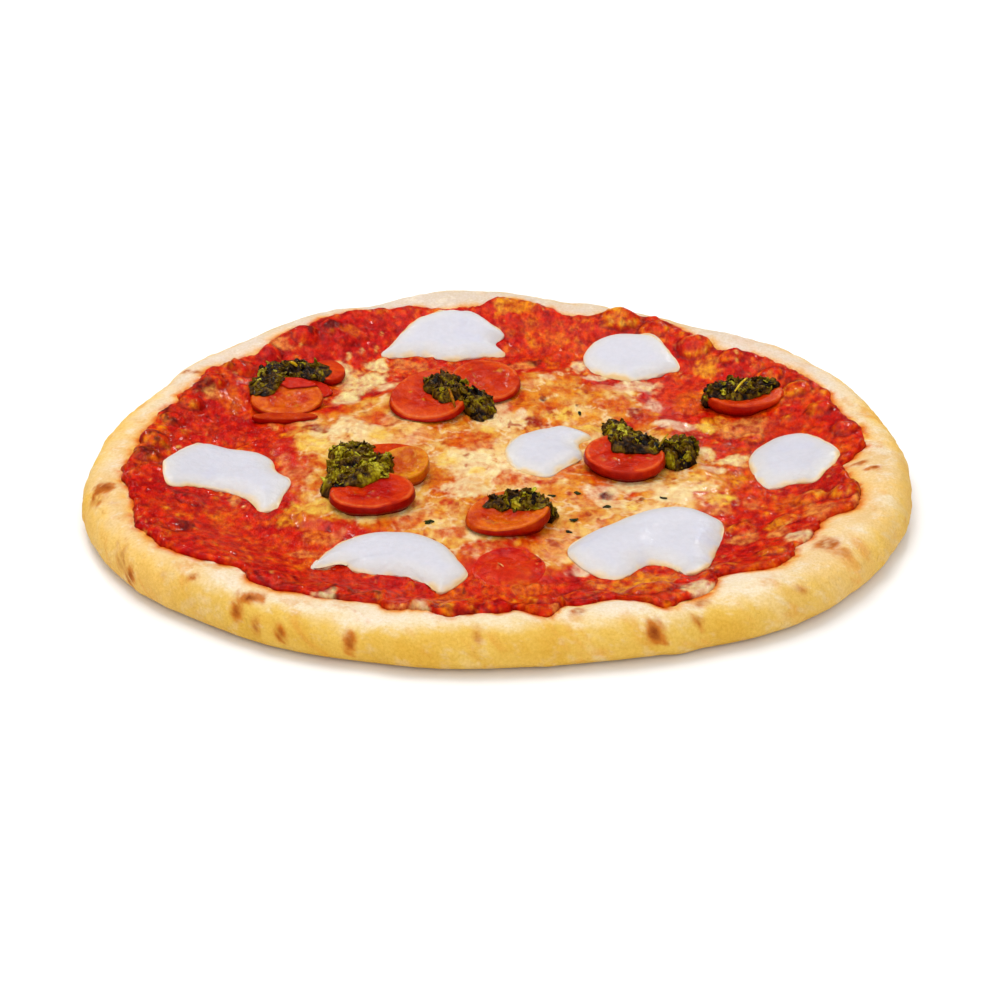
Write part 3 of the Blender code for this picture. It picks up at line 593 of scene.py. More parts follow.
def rings_to_mesh(rings, top, bottom):
    """A closed mesh from rings of points: a fan, strips of quads from ring to ring, and a fan below."""
    rings = np.asarray(rings, float)
    steps, count = rings.shape[:2]
    points = np.vstack([[top], rings.reshape(-1, 3), [bottom]])
    j = np.arange(count)
    k = (j + 1) % count
    last = len(points) - 1
    strips = []
    for i in range(steps - 1):
        near, far = 1 + i * count, 1 + (i + 1) * count
        strips.append(np.stack([near + j, far + j, far + k, near + k], axis=1))
    faces = np.vstack(strips).tolist()
    faces += np.stack([np.zeros(count, int), 1 + j, 1 + k], axis=1).tolist()
    foot = last - count
    faces += np.stack([foot + j, np.full(count, last), foot + k], axis=1).tolist()
    return points, faces


def closed(rings, drop=0.0):
    """A mesh from rings, closed in the middle of the first ring and drop under the lowest point."""
    rings = np.array(rings)
    middle = rings[0].mean(axis=0)
    return rings_to_mesh(rings, middle, (middle[0], middle[1], rings[..., 2].min() - drop))


def join(meshes):
    """Several meshes as one."""
    faces, start = [], 0
    for points, own in meshes:
        faces += [tuple(corner + start for corner in face) for face in own]
        start += len(points)
    return np.vstack([points for points, _ in meshes]), faces


def tree_of(made):
    """The tree that rays are cast at."""
    points, faces = made
    return BVHTree.FromPolygons([Vector(p) for p in points], faces)


def linear(colour):
    """Screen colour from 0 to 255 as the linear colour that looks like it in the studio's light."""
    share = np.asarray(colour, float) / 255.0
    light = np.where(share <= 0.04045, share / 12.92, ((share + 0.055) / 1.055) ** 2.4)
    return np.maximum(light - VEIL, DARKEST) / EVEN_LIGHT


def blend(first, second, share):
    """Mixes colours point by point."""
    share = np.clip(np.asarray(share, float), 0.0, 1.0)[..., None]
    return first * (1.0 - share) + second * share


def tinted(colour, shade, share):
    """Mixes a screen colour into colours, point by point."""
    return blend(colour, linear(shade), share)


def ramp(value, stops):
    """Colour at each value, between stops of value and screen colour."""
    at = [stop[0] for stop in stops]
    colours = np.array([linear(stop[1]) for stop in stops])
    return np.stack([np.interp(value, at, colours[:, channel]) for channel in range(3)], axis=-1)


def piece(name, made, finish, paint, nodes=()):
    """A painted mesh that rides on the part and stands for its nodes."""
    points, faces = made
    mesh = bpy.data.meshes.new(name)
    mesh.from_pydata(move_in(points).tolist(), [], faces)
    mesh.shade_smooth()
    colours = np.ones((len(points), 4), np.float32)
    colours[:, :3] = np.clip(paint, 0.0, 1.0)
    mesh.color_attributes.new("paint", "FLOAT_COLOR", "POINT").data.foreach_set("color", colours.ravel())
    mesh.materials.append(finish)
    mesh.update()
    made_piece = bpy.data.objects.new(name, mesh)
    bpy.context.scene.collection.objects.link(made_piece)
    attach(made_piece, "root")
    if nodes:
        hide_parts(*nodes)


# Finishes.


def set_inputs(node, values):
    for socket, value in values.items():
        node.inputs[socket].default_value = value
    return node


def finish_of(
    name, roughness, specular, speck, grain, soft=0.0, roughness_spread=0.0, film=0.0, layered=False
):
    """A material: painted colour, mottled by noise, with fine relief and uneven gloss.

    speck is what the colour is multiplied by in the darkest and lightest specks and their scale per
    metre, grain is the relief's depth in metres and its scale. film is how much of a smooth wet film
    lies on it. layered is for sauce and cheese: it draws the mottling out and mottles pale paint less.
    """
    made = bpy.data.materials.new(name)
    made.use_nodes = True
    nodes, links = made.node_tree.nodes, made.node_tree.links
    shader = nodes["Principled BSDF"]
    shader.inputs["Metallic"].default_value = 0.0
    shader.inputs["Specular IOR Level"].default_value = specular
    shader.inputs["Coat Weight"].default_value = film
    shader.inputs["Coat Roughness"].default_value = 0.12
    shader.inputs["Coat IOR"].default_value = 1.4
    shader.inputs["Subsurface Weight"].default_value = soft
    shader.inputs["Subsurface Radius"].default_value = (1.0, 0.6, 0.4)
    shader.inputs["Subsurface Scale"].default_value = 0.003
    painted = nodes.new("ShaderNodeVertexColor")
    painted.layer_name = "paint"
    place = nodes.new("ShaderNodeTexCoord")
    drawn = set_inputs(nodes.new("ShaderNodeMapping"), {"Scale": (1.0, MARK_SHARE if layered else 1.0, 1.0)})
    links.new(place.outputs["Object"], drawn.inputs["Vector"])

    def layer(scale, detail):
        texture = nodes.new("ShaderNodeTexNoise")
        set_inputs(texture, {"Scale": scale, "Detail": detail, "Roughness": 0.6})
        links.new(drawn.outputs["Vector"], texture.inputs["Vector"])
        return texture.outputs["Fac"]

    def mapped(value, low, high, new_low, new_high):
        span = nodes.new("ShaderNodeMapRange")
        set_inputs(span, {"From Min": low, "From Max": high, "To Min": new_low, "To Max": new_high})
        links.new(value, span.inputs["Value"])
        return span.outputs["Result"]

    def mix(blend_type="MIX"):
        made_mix = nodes.new("ShaderNodeMix")
        made_mix.data_type = "RGBA"
        made_mix.blend_type = blend_type
        return made_mix

    dark, light, scale = speck
    between = set_inputs(mix(), {"A": (*dark, 1.0), "B": (*light, 1.0)})
    links.new(mapped(layer(scale, 6.0), 0.37, 0.63, 0.0, 1.0), between.inputs["Factor"])
    tint = set_inputs(mix("MULTIPLY"), {"Factor": 1.0})
    links.new(painted.outputs["Color"], tint.inputs["A"])
    links.new(between.outputs["Result"], tint.inputs["B"])
    if layered:
        parts = nodes.new("ShaderNodeSeparateColor")
        links.new(painted.outputs["Color"], parts.inputs["Color"])
        links.new(mapped(parts.outputs["Green"], 0.08, 0.4, 1.0, 0.32), tint.inputs["Factor"])
    links.new(tint.outputs["Result"], shader.inputs["Base Color"])
    rough = roughness - roughness_spread, roughness + roughness_spread
    links.new(mapped(layer(scale * 0.6, 3.0), 0.3, 0.7, *rough), shader.inputs["Roughness"])
    depth, grain_scale = grain
    relief = set_inputs(nodes.new("ShaderNodeBump"), {"Distance": depth, "Strength": 1.0})
    links.new(layer(grain_scale, 4.0), relief.inputs["Height"])
    links.new(relief.outputs["Normal"], shader.inputs["Normal"])
    return made


# Paint: colours are what the eye sees in even light. Noise in it is cloud(x, y, size, seed, octaves).


def paint_crust(points):
    """Pale on top, golden down the side and stained by the sauce along its edge, with painted light on its
    left and right walls and painted shade over its far back.
    """
    x, y, z = points.T
    radius, angle = polar(x, y)
    outer, crest = crust_radius(angle), crest_height(angle)
    down = smooth((radius - (outer - 1.1 * CREST_INSET)) / (1.1 * CREST_INSET))
    down = np.maximum(down, 1.1 * smooth((crest * 0.95 - z) / crest) * (radius > outer - CREST_INSET))
    down = down + 0.3 * cloud(x, y + z, 22.0, 1, 3) + 0.22 * cloud(x + z, y, 6.0, 4, 4)
    on_side = np.clip(down, 0.0, 1.0)
    colour = ramp(down, CRUST_RAMP)
    ends = smooth((np.abs(x) - 80.0) / 50.0) * smooth((55.0 - y) / 40.0) * (1.0 - 0.6 * on_side)
    golden = smooth(0.75 + 0.5 * cloud(x, y, 14.0, 0, 3))
    colour = tinted(colour, CRUST_GOLDEN, 0.85 * ends * golden)
    pale_back = smooth((y - 20.0) / 60.0) * (1.0 - 0.7 * on_side)
    colour = tinted(colour, CRUST_PALE, 0.85 * pale_back)
    warm = smooth(cloud(x + z, y - z, 8.0, 2, 5, 0.65) * 1.5 - 0.3)
    colour = tinted(colour, CRUST_WARM, (0.45 + 0.3 * ends) * warm * (1.0 - 0.6 * pale_back))
    # Painted light and shade: the left and right walls are painted brighter, their tops a little darker, and
    # the far back is painted darker.
    painted_side_light = smooth((np.abs(x) - 100.0) / 40.0) * (0.17 * on_side - 0.02)
    colour = colour * (1.0 + painted_side_light - 0.09 * smooth((y - 90.0) / 40.0))[:, None]
    floury = smooth(cloud(x, y + z, 4.0, 3, 4, 0.7) * 1.5 - 0.2) * (1.0 - 0.7 * on_side)
    colour = tinted(colour, CRUST_FLOUR, 0.5 * floury)
    beyond = np.maximum(radius - ragged_reach(angle), 0.0)
    oily = hump(beyond, 3.6) * smooth(0.7 + 1.0 * cloud(x, y, 8.0, 4, 3))
    colour = tinted(colour, CRUST_OILY, 0.9 * oily)
    return tinted(colour, CRUST_STAINED, hump(beyond, 1.9) * smooth(0.7 + 0.9 * cloud(x, y, 4.0, 2, 3)))


def scorch(points, colour, tree):
    """Burns the named spots into the crust's colour."""
    x, y, z = points.T
    edge = 1.0 + 0.5 * cloud(x + z, y - z, 5.0, 5, 3)
    mottle = 0.8 + 0.7 * cloud(x + z, y - z, 2.2, 1, 3)
    for column, row, half_width, half_height, strength in SCORCHES:
        ray = Vector(seen(column, row, 0.0) - CAMERA_PLACE)
        hit = tree.ray_cast(Vector(CAMERA_PLACE), ray.normalized())[0]
        if hit is None:
            continue
        wide, high = half_width / PIXELS_WIDE, half_height / PIXELS_HIGH
        off = np.sqrt(((x - hit.x) / wide) ** 2 + ((y - hit.y) ** 2 + (z - hit.z) ** 2) / high**2) * edge
        burnt = smooth((1.5 - off) / 1.2) * strength * mottle
        colour = tinted(colour, SCORCH_EDGE, np.minimum(1.9 * burnt, 0.9))
        colour = tinted(colour, SCORCH_CORE, smooth((0.8 - off) / 0.6) * strength * mottle)
    return colour


def paint_sauce(x, y):
    """Colour of the sauce: dark crimson with orange and pale bits. Its hollows and the rings round the feet
    of its lumps are painted darker, as painted shade, and the tops of its lumps and pulp are painted lighter
    and more orange, part their own colour and part painted light.
    """
    v = MARK_SHARE * y
    tops, rims, gap_shade = lump_parts(x, y)
    browned = smooth((x + 50.0) / 60.0)
    # Painted light: the tone rises with the height of the pulp grains, so their tops are painted lighter and
    # more orange.
    tone = 0.34 + 0.3 * bump(x, y, PULP) + 0.22 * cloud(x, v, 14.0, 0, 3) + 0.26 * cloud(x, v, 2.2, 1, 3)
    # The orange rims and tops of the lumps are painted lighter: part their own orange colour, part painted
    # highlight.
    tone = tone + (0.1 + 0.12 * browned) * rims
    tone = tone + browned * tops * (0.08 + 0.34 * cloud(x, v, 6.0, 3, 3))
    colour = ramp(tone, SAUCE_RAMP)
    veins = 1.0 - smooth(np.abs(cloud(x, v, 7.0, 2, 4)) / 0.16)
    # Painted shade: dark rings round the lumps' feet, together with the random dark veins and specks of the
    # sauce.
    dark = 0.7 * veins * smooth(0.5 - cloud(x, v, 20.0, 4, 2)) * (1.0 - tops) + 0.9 * gap_shade
    dark = dark + smooth(cloud(x, v, 2.0, 3, 3) * 1.9 - 1.25)
    dark = dark + 0.6 * smooth(cloud(x, v, 6.0, 5, 4) * 1.7 - 1.3)
    colour = tinted(colour, SAUCE_DARK_AND_SHADE, np.minimum(0.75 * dark, 0.9))
    charred = tops * (1.0 - browned) * smooth(cloud(x, v, 3.5, 2, 3) * 2.0 - 0.3)
    colour = tinted(colour, SAUCE_CHARRED, 0.8 * charred)
    bits = smooth(cloud(x, v, 3.0, 4, 3) * 2.2 - 1.7) * smooth(0.5 + cloud(x, v, 15.0, 2, 2))
    return tinted(colour, SAUCE_BITS, 0.7 * bits)


def lump_parts(x, y):
    """Tops, orange rims and dark outlines of the large lumps, each from 0 to 1. The rims are part orange
    colour and part painted highlight, and the dark outlines are painted shade round the lumps' feet.
    """
    tops, rims, gap_shade = (np.zeros(np.broadcast(x, y).shape) for _ in range(3))
    ragged = 1.0 + 0.14 * cloud(x, y, 4.0, 5, 2)
    for at_x, at_y, size, _ in LUMPS:
        off = np.hypot(x - at_x, y - at_y) / size * ragged
        tops = np.maximum(tops, smooth((0.95 - off) / 0.25))
        rims = np.maximum(rims, hump(off - 0.8, 0.14))
        gap_shade = np.maximum(gap_shade, hump(off - 1.08, 0.12))
    return tops, rims, gap_shade * (1.0 - tops)


def cheese_share(x, y):
    """How much cheese covers the sauce at each point, from 0 to 1."""
    radius, angle = polar(x, y)
    inward = (cheese_reach(angle) + 4.0 - radius) / 16.0
    return np.clip(inward + 0.7 * cloud(x, y, 13.0, 3, 4), 0.0, 1.0)


def lay_patches(x, y, colour):
    """Adds the named streaks and blots of cheese, sauce and browning, and two patches of painted shadow."""
    v = MARK_SHARE * y
    ragged = 1.0 + 0.55 * cloud(x, v, 6.0, 3, 4)
    fray = 0.8 + 0.35 * cloud(x, v, 1.7, 0, 2)
    for column, row, half_width, half_height, kind in PATCHES:
        at_x, at_y = laid(column, row)
        wide, deep = half_width / PIXELS_WIDE, half_height / PIXELS_DEEP
        off = np.hypot((x - at_x) / wide, (y - at_y) / deep)
        near = off < 2.2
        share = smooth((1.35 - off[near] * ragged[near]) / 0.6) * fray[near]
        shade, strength = PATCH_COLOURS[kind]
        colour[near] = tinted(colour[near], shade, strength * share)
    return colour


def paint_top(points):
    """Colour of the cheese and of the sauce that shows through and round it."""
    x, y = points[:, 0], points[:, 1]
    v = MARK_SHARE * y
    sauce = paint_sauce(x, y)
    tone = 0.47 + 0.46 * cloud(x, v, 18.0, 4, 4, 0.55) + 0.16 * cloud(x, v, 4.0, 2, 3)
    tone = tone + 0.9 * (1.0 - cheese_share(x, y))
    colour = ramp(tone, CHEESE_RAMP)
    gold = smooth(cloud(x, v, 15.0, 1, 3) * 1.3 - 0.4)
    colour = tinted(colour, CHEESE_GOLD, 0.4 * gold * (tone < 0.6))
    marbled = cloud(0.7 * x, v, 7.0, 5, 4)
    cheesy = smooth((0.9 - tone) / 0.3)
    colour = tinted(colour, CHEESE_STREAK, 0.6 * (smooth((0.14 - np.abs(marbled)) / 0.12) * cheesy))
    colour = tinted(colour, CHEESE_SEAM, 0.6 * (smooth(marbled * 2.0 - 0.9) * cheesy))
    colour = blend(colour, sauce, smooth((tone - 0.82) / 0.16))
    colour = lay_patches(x, y, colour)
    veins = smooth((0.1 - np.abs(cloud(x, v, 5.0, 1, 4))) / 0.08)
    veins = veins * smooth(0.3 + 1.5 * cloud(x, v, 16.0, 2, 2))
    colour = tinted(colour, CHEESE_VEIN, 0.5 * veins * (tone < 0.85))
    spots = smooth(cloud(x, v, 4.0, 0, 3) * 2.4 - 1.5)
    return tinted(colour, CHEESE_SPOT, 0.8 * spots * (tone < 0.95))


# The layers.


def build_crust():
    angle = spokes(CRUST_SPOKES)
    reach, outer, crest = sauce_reach(angle), crust_radius(angle), crest_height(angle)
    crest_radius = outer - CREST_INSET
    rings = []
    for share in (0.0, 0.5, 0.8):
        radius = FLAT_RADIUS + (reach - FLAT_RADIUS) * share
        rings.append(ring(radius, angle, dough_top(radius, angle)))
    start = np.maximum(crest_radius, reach + 1.0)
    inner = reach - 4.0
    for share in np.linspace(0.0, 0.97, 16):
        radius = inner + (start - inner) * share
        rings.append(ring(radius, angle, np.where(radius < crest_radius, dough_top(radius, angle), crest)))
    for turn in np.linspace(90, -62, 44):
        rise, out = math.sin(math.radians(turn)), max(math.cos(math.radians(turn)), 0.0)
        half = crest - RIM_BELLY if turn > 0 else RIM_BELLY
        rings.append(ring(start + (outer - start) * out**0.85, angle, RIM_BELLY + half * rise))
    rings += [ring(outer - inset * FOOT_INSET, angle, 0.0) for inset in (1, 3)]
    rings = np.array(rings)
    step = np.arange(len(rings))
    shown = smooth((step - 3.0) / 8.0) * smooth((len(rings) - 3.0 - step) / 8.0)
    x, y, z = rings[..., 0], rings[..., 1], rings[..., 2]
    puff = 0.5 * cloud(x + 0.6 * z, y - 0.6 * z, 11.0, 3, 3) + 0.18 * cloud(x - z, y + z, 3.2, 4, 3)
    puff = puff * shown[:, None]
    radius = np.hypot(x, y)
    lean = smooth((radius - (outer - CREST_INSET)) / CREST_INSET)
    x += puff * lean * x / radius
    y += puff * lean * y / radius
    z += puff * (1.0 - 0.7 * lean)
    made = rings_to_mesh(rings, (0, 0, DOUGH_BASE), (0, 0, 0))
    colour = scorch(made[0], paint_crust(made[0]), tree_of(made))
    finish = finish_of("baked_crust", 0.72, 0.1, ((0.93, 0.89, 0.8), (1.03, 1.04, 1.14), 900.0),
                       (0.0007, 1000.0), soft=0.03, roughness_spread=0.08)
    piece("crust_baked", made, finish, colour, ["crust"])


def build_sauce(finish):
    angle = spokes(SAUCE_SPOKES)
    reach, inner = ragged_reach(angle), cheese_reach(angle) - 9.0
    rings = [ring(inner * share, angle, SAUCE_TOP) for share in (0.3, 0.6, 0.85)]
    for share in 1.0 - (1.0 - np.linspace(0.0, 1.0, SAUCE_RINGS)) ** 1.15:
        x, y = on_circle(inner + (reach - inner) * share, angle)
        radius = np.hypot(x, y)
        low = dough_top(radius, angle) - 0.2
        round_off = np.sqrt(1.0 - (1.0 - np.clip((reach - radius) / SAUCE_ROUNDING, 0.0, 1.0)) ** 2)
        rings.append(stack(x, y, low + (sauce_top(x, y) - low) * round_off))
    for share in (0.97, 0.8):
        rings.append(ring(reach * share, angle, dough_top(reach * share, angle) - 0.4))
    rings.append(ring(FLAT_RADIUS * 0.9, angle, DOUGH_BASE + 0.4))
    made = rings_to_mesh(rings, (0, 0, SAUCE_TOP), (0, 0, DOUGH_BASE + 0.4))
    piece("sauce_cooked", made, finish, paint_top(made[0]), ["tomato_sauce"])


def build_cheese(finish):
    angle = spokes(CHEESE_SPOKES)
    reach = cheese_reach(angle) + CHEESE_LIP
    rings = []
    for share in np.linspace(0.0, 1.0, CHEESE_RINGS)[1:]:
        x, y = on_circle(reach * share, angle)
        rings.append(stack(x, y, cheese_top(x, y)))
    underside = SAUCE_TOP - 0.8
    rings.append(ring(reach, angle, underside))
    origin = np.zeros(1)
    made = rings_to_mesh(rings, (0, 0, cheese_top(origin, origin)[0]), (0, 0, underside))
    piece("cheese_melted", made, finish, paint_top(made[0]), ["melted_cheese"])


class Bed:
    """Height map of what the toppings rest on: the layers, then every piece laid so far."""

    STEP = 0.5
    REACH = 168.0
    SKY = 80.0

    def __init__(self):
        self.axis = np.arange(-self.REACH, self.REACH, self.STEP)
        x, y = np.meshgrid(self.axis, self.axis, indexing="ij")
        radius, angle = polar(x, y)
        self.map = np.where(radius < sauce_reach(angle), sauce_top(x, y), dough_top(radius, angle))
        cheese = radius < cheese_reach(angle) + CHEESE_LIP
        self.map[cheese] = np.maximum(self.map[cheese], cheese_top(x[cheese], y[cheese]))

    def add(self, made):
        tree = tree_of(made)
        low = np.searchsorted(self.axis, made[0][:, :2].min(axis=0)) - 1
        high = np.searchsorted(self.axis, made[0][:, :2].max(axis=0)) + 1
        down = Vector((0.0, 0.0, -1.0))
        for i in range(low[0], high[0]):
            for j in range(low[1], high[1]):
                hit = tree.ray_cast(Vector((self.axis[i], self.axis[j], self.SKY)), down)[0]
                if hit is not None:
                    self.map[i, j] = max(self.map[i, j], hit.z)

    def heights(self, x, y):
        """Height of the highest surface under each point."""
        u = (np.asarray(x, float) + self.REACH) / self.STEP
        v = (np.asarray(y, float) + self.REACH) / self.STEP
        i, j = u.astype(int), v.astype(int)
        fu, fv = u - i, v - j
        low = self.map[i, j] * (1 - fu) + self.map[i + 1, j] * fu
        high = self.map[i, j + 1] * (1 - fu) + self.map[i + 1, j + 1] * fu
        return low * (1 - fv) + high * fv

    def level(self, x, y):
        """Height of the bed evened out over the width of a small topping."""
        spots = [on_circle(LEVEL_REACH * share, turn) for share in (0.5, 1.0) for turn in range(0, 360, 30)]
        return np.mean([self.heights(x + dx, y + dy) for dx, dy in spots], axis=0)


def inside(x, y, edge_x, edge_y):
    """Distance from each point to an outline, given by many points of it."""
    return np.hypot(x[:, None] - edge_x, y[:, None] - edge_y).min(axis=1)


def through(points, count):
    """Share of the way out -> a ring of points, inside a smooth closed curve through an outline's points."""
    knots = np.array(points[::-1], float)
    steps = np.arange(OUTLINE_STEPS)[:, None] / OUTLINE_STEPS
    spans = []
    for k in range(len(knots)):
        before, start, end, after = (knots[(k + step) % len(knots)] for step in (-1, 0, 1, 2))
        bend = 2 * before - 5 * start + 4 * end - after
        twist = 3 * start - before - 3 * end + after
        spans.append(start + 0.5 * ((end - before) * steps + bend * steps**2 + twist * steps**3))
    curve = np.vstack([*spans, spans[0][:1]])
    along = np.concatenate([[0.0], np.cumsum(np.hypot(*np.diff(curve, axis=0).T))])
    at = np.arange(count) * along[-1] / count
    x, y = np.interp(at, along, curve[:, 0]), np.interp(at, along, curve[:, 1])
    middle = x.mean(), y.mean()
    return lambda share: (middle[0] + share * (x - middle[0]), middle[1] + share * (y - middle[1]))


def oval(middle, length, width, turn, seed, count):
    """Share of the way out -> a ring of points, inside a slightly uneven oval."""
    draw = np.random.default_rng(seed)
    around = np.arange(count) * 2.0 * math.pi / count
    uneven = 1.0 + 0.02 * np.cos(2 * around + draw.uniform(0, 6))
    uneven += 0.015 * np.cos(3 * around + draw.uniform(0, 6))
    u, v = 0.5 * length * uneven * np.cos(around), 0.5 * width * uneven * np.sin(around)
    cos, sin = math.cos(math.radians(turn)), math.sin(math.radians(turn))
    return lambda share: (middle[0] + share * (u * cos - v * sin), middle[1] + share * (u * sin + v * cos))


def build_mozzarella(bed):
    """Soft slices with rounded edges, sagging a little into what they lie on."""
    finish = finish_of("fresh_mozzarella", 0.4, 0.1, ((0.97, 0.97, 0.97), (1.02, 1.02, 1.02), 400.0),
                       (0.00025, 500.0), soft=0.1, film=0.03)
    for seed, (name, thickness, points) in enumerate(MOZZARELLA):
        shape = through(points, 240)
        edge = through(points, 480)(1.0)
        rings, rims = [], []
        for share in 1.0 - (1.0 - np.linspace(0.05, 1.0, 40)) ** 1.6:
            x, y = shape(share)
            x = x + 0.4 * share**4 * cloud(x, y, 9.0, seed % 5, 2)
            y = y + 0.5 * share**4 * cloud(y, x, 9.0, seed % 4, 2)
            inward = inside(x, y, *edge)
            ease = np.minimum(inward / MOZZARELLA_ROUNDING, 1.0)
            top = bed.level(x, y) + 0.2 + 0.9 * thickness * (1.0 - (1.0 - ease) ** 2) ** 0.75
            top = top + 0.4 * noise(x, y, 14.0, 2) + 0.12 * cloud(x, y, 6.0, 1, 3)
            rings.append(stack(x, y, np.maximum(top, bed.heights(x, y) + 0.25)))
            rims.append(inward)
        x, y = rings[-1][:, 0], rings[-1][:, 1]
        rings.append(stack(x, y, bed.heights(x, y) - SUNK))
        rims.append(np.zeros(len(x)))
        made = closed(rings)
        rim = np.concatenate([[10.0], np.concatenate(rims), [0.0]])
        x, y = made[0][:, 0], made[0][:, 1]
        colour = ramp(rim + 1.3 * cloud(x, y, 8.0, seed % 5, 3), MOZZARELLA_RAMP)
        # Painted shade: grey-blue patches at random stand for the shade of folds in the slices.
        folds = smooth(cloud(x, y, 11.0, (seed + 2) % 5, 3) * 1.3 - 0.5)
        colour = tinted(colour, MOZZARELLA_FOLD_SHADE, 0.6 * folds)
        bed.add(made)
        piece(name + "_slice", made, finish, colour, [name])


def build_tomatoes(bed):
    """Halves with a wet, seedy cut face over a band of skin that turns under."""
    finish = finish_of("cooked_tomato", 0.3, 0.04, ((0.84, 0.66, 0.6), (1.06, 1.35, 1.2), 420.0),
                       (0.0005, 420.0), soft=0.04, film=0.11)
    for seed, row in enumerate(TOMATOES):
        name, middle, length, width, turn, face, to_front, to_right, hollow, kind = row
        level = bed.heights(*np.array([middle]).T)[0] + 0.4 + face
        shape = oval(middle, length, width, turn, seed, 160)
        flesh, pulp, skin = (linear(colour) for colour in TOMATO_COLOURS[kind])
        rings, colours = [], []
        for share in np.linspace(0.03, 1.0, 46):
            x, y = shape(share)
            foot = bed.heights(x, y) + 0.3
            slope = (y - middle[1]) * math.tan(math.radians(to_front))
            slope = slope - (x - middle[0]) * math.tan(math.radians(to_right))
            lumps, seeds = cloud(x, y, 7.0, seed % 5, 2), cloud(x, y, 2.6, (seed + 1) % 5, 2)
            ragged = share + 0.12 * cloud(x, y, 8.0, (seed + 3) % 5, 2)
            wet = (1.0 - smooth((ragged - 0.5) / 0.3)) * (hollow > 0.0)
            top = level + slope - 0.6 * hollow * (1.0 - smooth(share * 1.2))
            top = top + wet * (0.4 * lumps + 0.25 * seeds)
            top = top + 0.25 * lumps - 0.4 * smooth((share - 0.95) / 0.05) ** 2
            if kind == "flat":
                top, foot = top - 0.9 * smooth((share - 0.4) / 0.6), foot - 0.6
            rings.append(stack(x, y, np.maximum(top, foot + 0.5)))
            streaky = cloud(x, y, 9.0, (seed + 2) % 5, 4)
            colour = blend(flesh, flesh * PALER_FLESH, 0.5 * smooth(0.4 + 0.8 * streaky))
            colour = blend(colour, skin, 0.5 * smooth(-1.2 * streaky - 0.1))
            colour = blend(colour, pulp, 0.9 * wet * smooth(0.7 + 0.7 * lumps))
            colour = blend(colour, pulp * 0.5, 0.7 * wet * smooth(1.1 * seeds - 0.45))
            colour = tinted(colour, SEED_GOLD, 0.6 * wet * smooth(1.7 * seeds - 1.1))
            # Painted highlight along the cut rim, partly the paler flesh wall.
            rim = smooth(1.0 - abs(share - 0.94) / 0.06) * (kind not in ("flat", "skin", "under"))
            colour = tinted(colour, CUT_RIM_WALL_AND_HIGHLIGHT, 0.45 * rim * smooth(0.6 + streaky))
            if kind == "flat":
                colour = blend(colour, paint_sauce(x, y), 0.3 + 0.7 * smooth((share - 0.5) / 0.4))
            colours.append(colour)
        edge = rings[-1][:, 2]
        for down in np.linspace(0.06, 1.0, 16):
            belly = 1.0 + (TOMATO_BELLY - 1.0) * math.sin(math.pi * min(down / 0.8, 1.0))
            x, y = shape(belly - (1.0 - TOMATO_FOOT) * smooth((down - 0.4) / 0.6))
            rings.append(stack(x, y, edge + (bed.heights(x, y) - 0.4 - edge) * down))
            turned_down = smooth(0.6 + 0.6 * down + 0.3 * cloud(x, y, 9.0, 1, 2))
            side = blend(np.tile(flesh, (len(x), 1)), skin, turned_down)
            # Painted shade: the side darkens towards the foot, where it meets the bed.
            side = blend(side, skin * 0.55, smooth((down - 0.6) / 0.4))
            colours.append(paint_sauce(x, y) if kind == "flat" else side)
        made = closed(rings, 0.2)
        colour = np.vstack([colours[0][:1], np.concatenate(colours), [skin]])
        bed.add(made)
        piece(name + "_cooked", made, finish, colour, [name])


def leaf_flake(draw, size):
    """A small crumpled bit of leaf with a little thickness, round the origin and facing up."""
    rows, columns = 6, 5
    u, v = np.meshgrid(np.linspace(-1, 1, rows), np.linspace(-1, 1, columns), indexing="ij")
    taper = np.sqrt(np.maximum(1.0 - (0.92 * u) ** 2, 0.0)) * draw.uniform(0.45, 0.9)
    ragged = 1.0 + 0.22 * draw.standard_normal(u.shape) * (np.abs(v) > 0.9)
    x, y = u * size, v * taper * size * ragged
    curl, wave = draw.uniform(-0.9, 0.9), draw.uniform(0.1, 0.35)
    z = curl * (x**2 + 0.6 * y**2) / size * 0.5 + wave * size * np.sin(2.6 * u + draw.uniform(0, 6))
    z = z + wave * size * 0.7 * np.sin(3.4 * v + draw.uniform(0, 6))
    z = z + 0.12 * size * draw.standard_normal(u.shape)
    top = np.stack([x, y, z], axis=-1).reshape(-1, 3)
    low = top - (0.0, 0.0, LEAF_THICKNESS)
    faces = []
    count = rows * columns
    for a in (i * columns + j for i in range(rows - 1) for j in range(columns - 1)):
        b, c, d = a + columns, a + columns + 1, a + 1
        faces.append((a, b, c, d))
        faces.append((a + count, d + count, c + count, b + count))
    rim = [i * columns for i in range(rows)]
    rim += [(rows - 1) * columns + j for j in range(1, columns)]
    rim += [i * columns + columns - 1 for i in range(rows - 2, -1, -1)]
    rim += list(range(columns - 2, 0, -1))
    for a, b in zip(rim, rim[1:] + rim[:1], strict=True):
        faces.append((b, a, a + count, b + count))
    return np.vstack([top, low]), faces


def turned(draw, tilt):
    """A random turn about the upright, after a random lean of up to tilt degrees."""
    lean, way, spin = math.radians(draw.uniform(0, tilt)), draw.uniform(0, 6.3), draw.uniform(0, 6.3)
    spin_z = np.array([[math.cos(spin), -math.sin(spin), 0], [math.sin(spin), math.cos(spin), 0], [0, 0, 1]])
    axis_x, axis_y = math.cos(way), math.sin(way)
    cross = np.array([[0, 0, axis_y], [0, 0, -axis_x], [-axis_y, axis_x, 0]])
    lean_by = np.eye(3) + math.sin(lean) * cross + (1 - math.cos(lean)) * cross @ cross
    return lean_by @ spin_z


def crumple(x, y, size, seed):
    """Sharp ridges and creases from 0 to 1, as in a crumpled wet leaf."""
    first = 1.0 - np.abs(cloud(x, y, size, seed, 2))
    second = 1.0 - np.abs(cloud(y, x, 0.5 * size, (seed + 2) % 5, 2))
    return np.clip(0.62 * first + 0.38 * second, 0.0, 1.0)


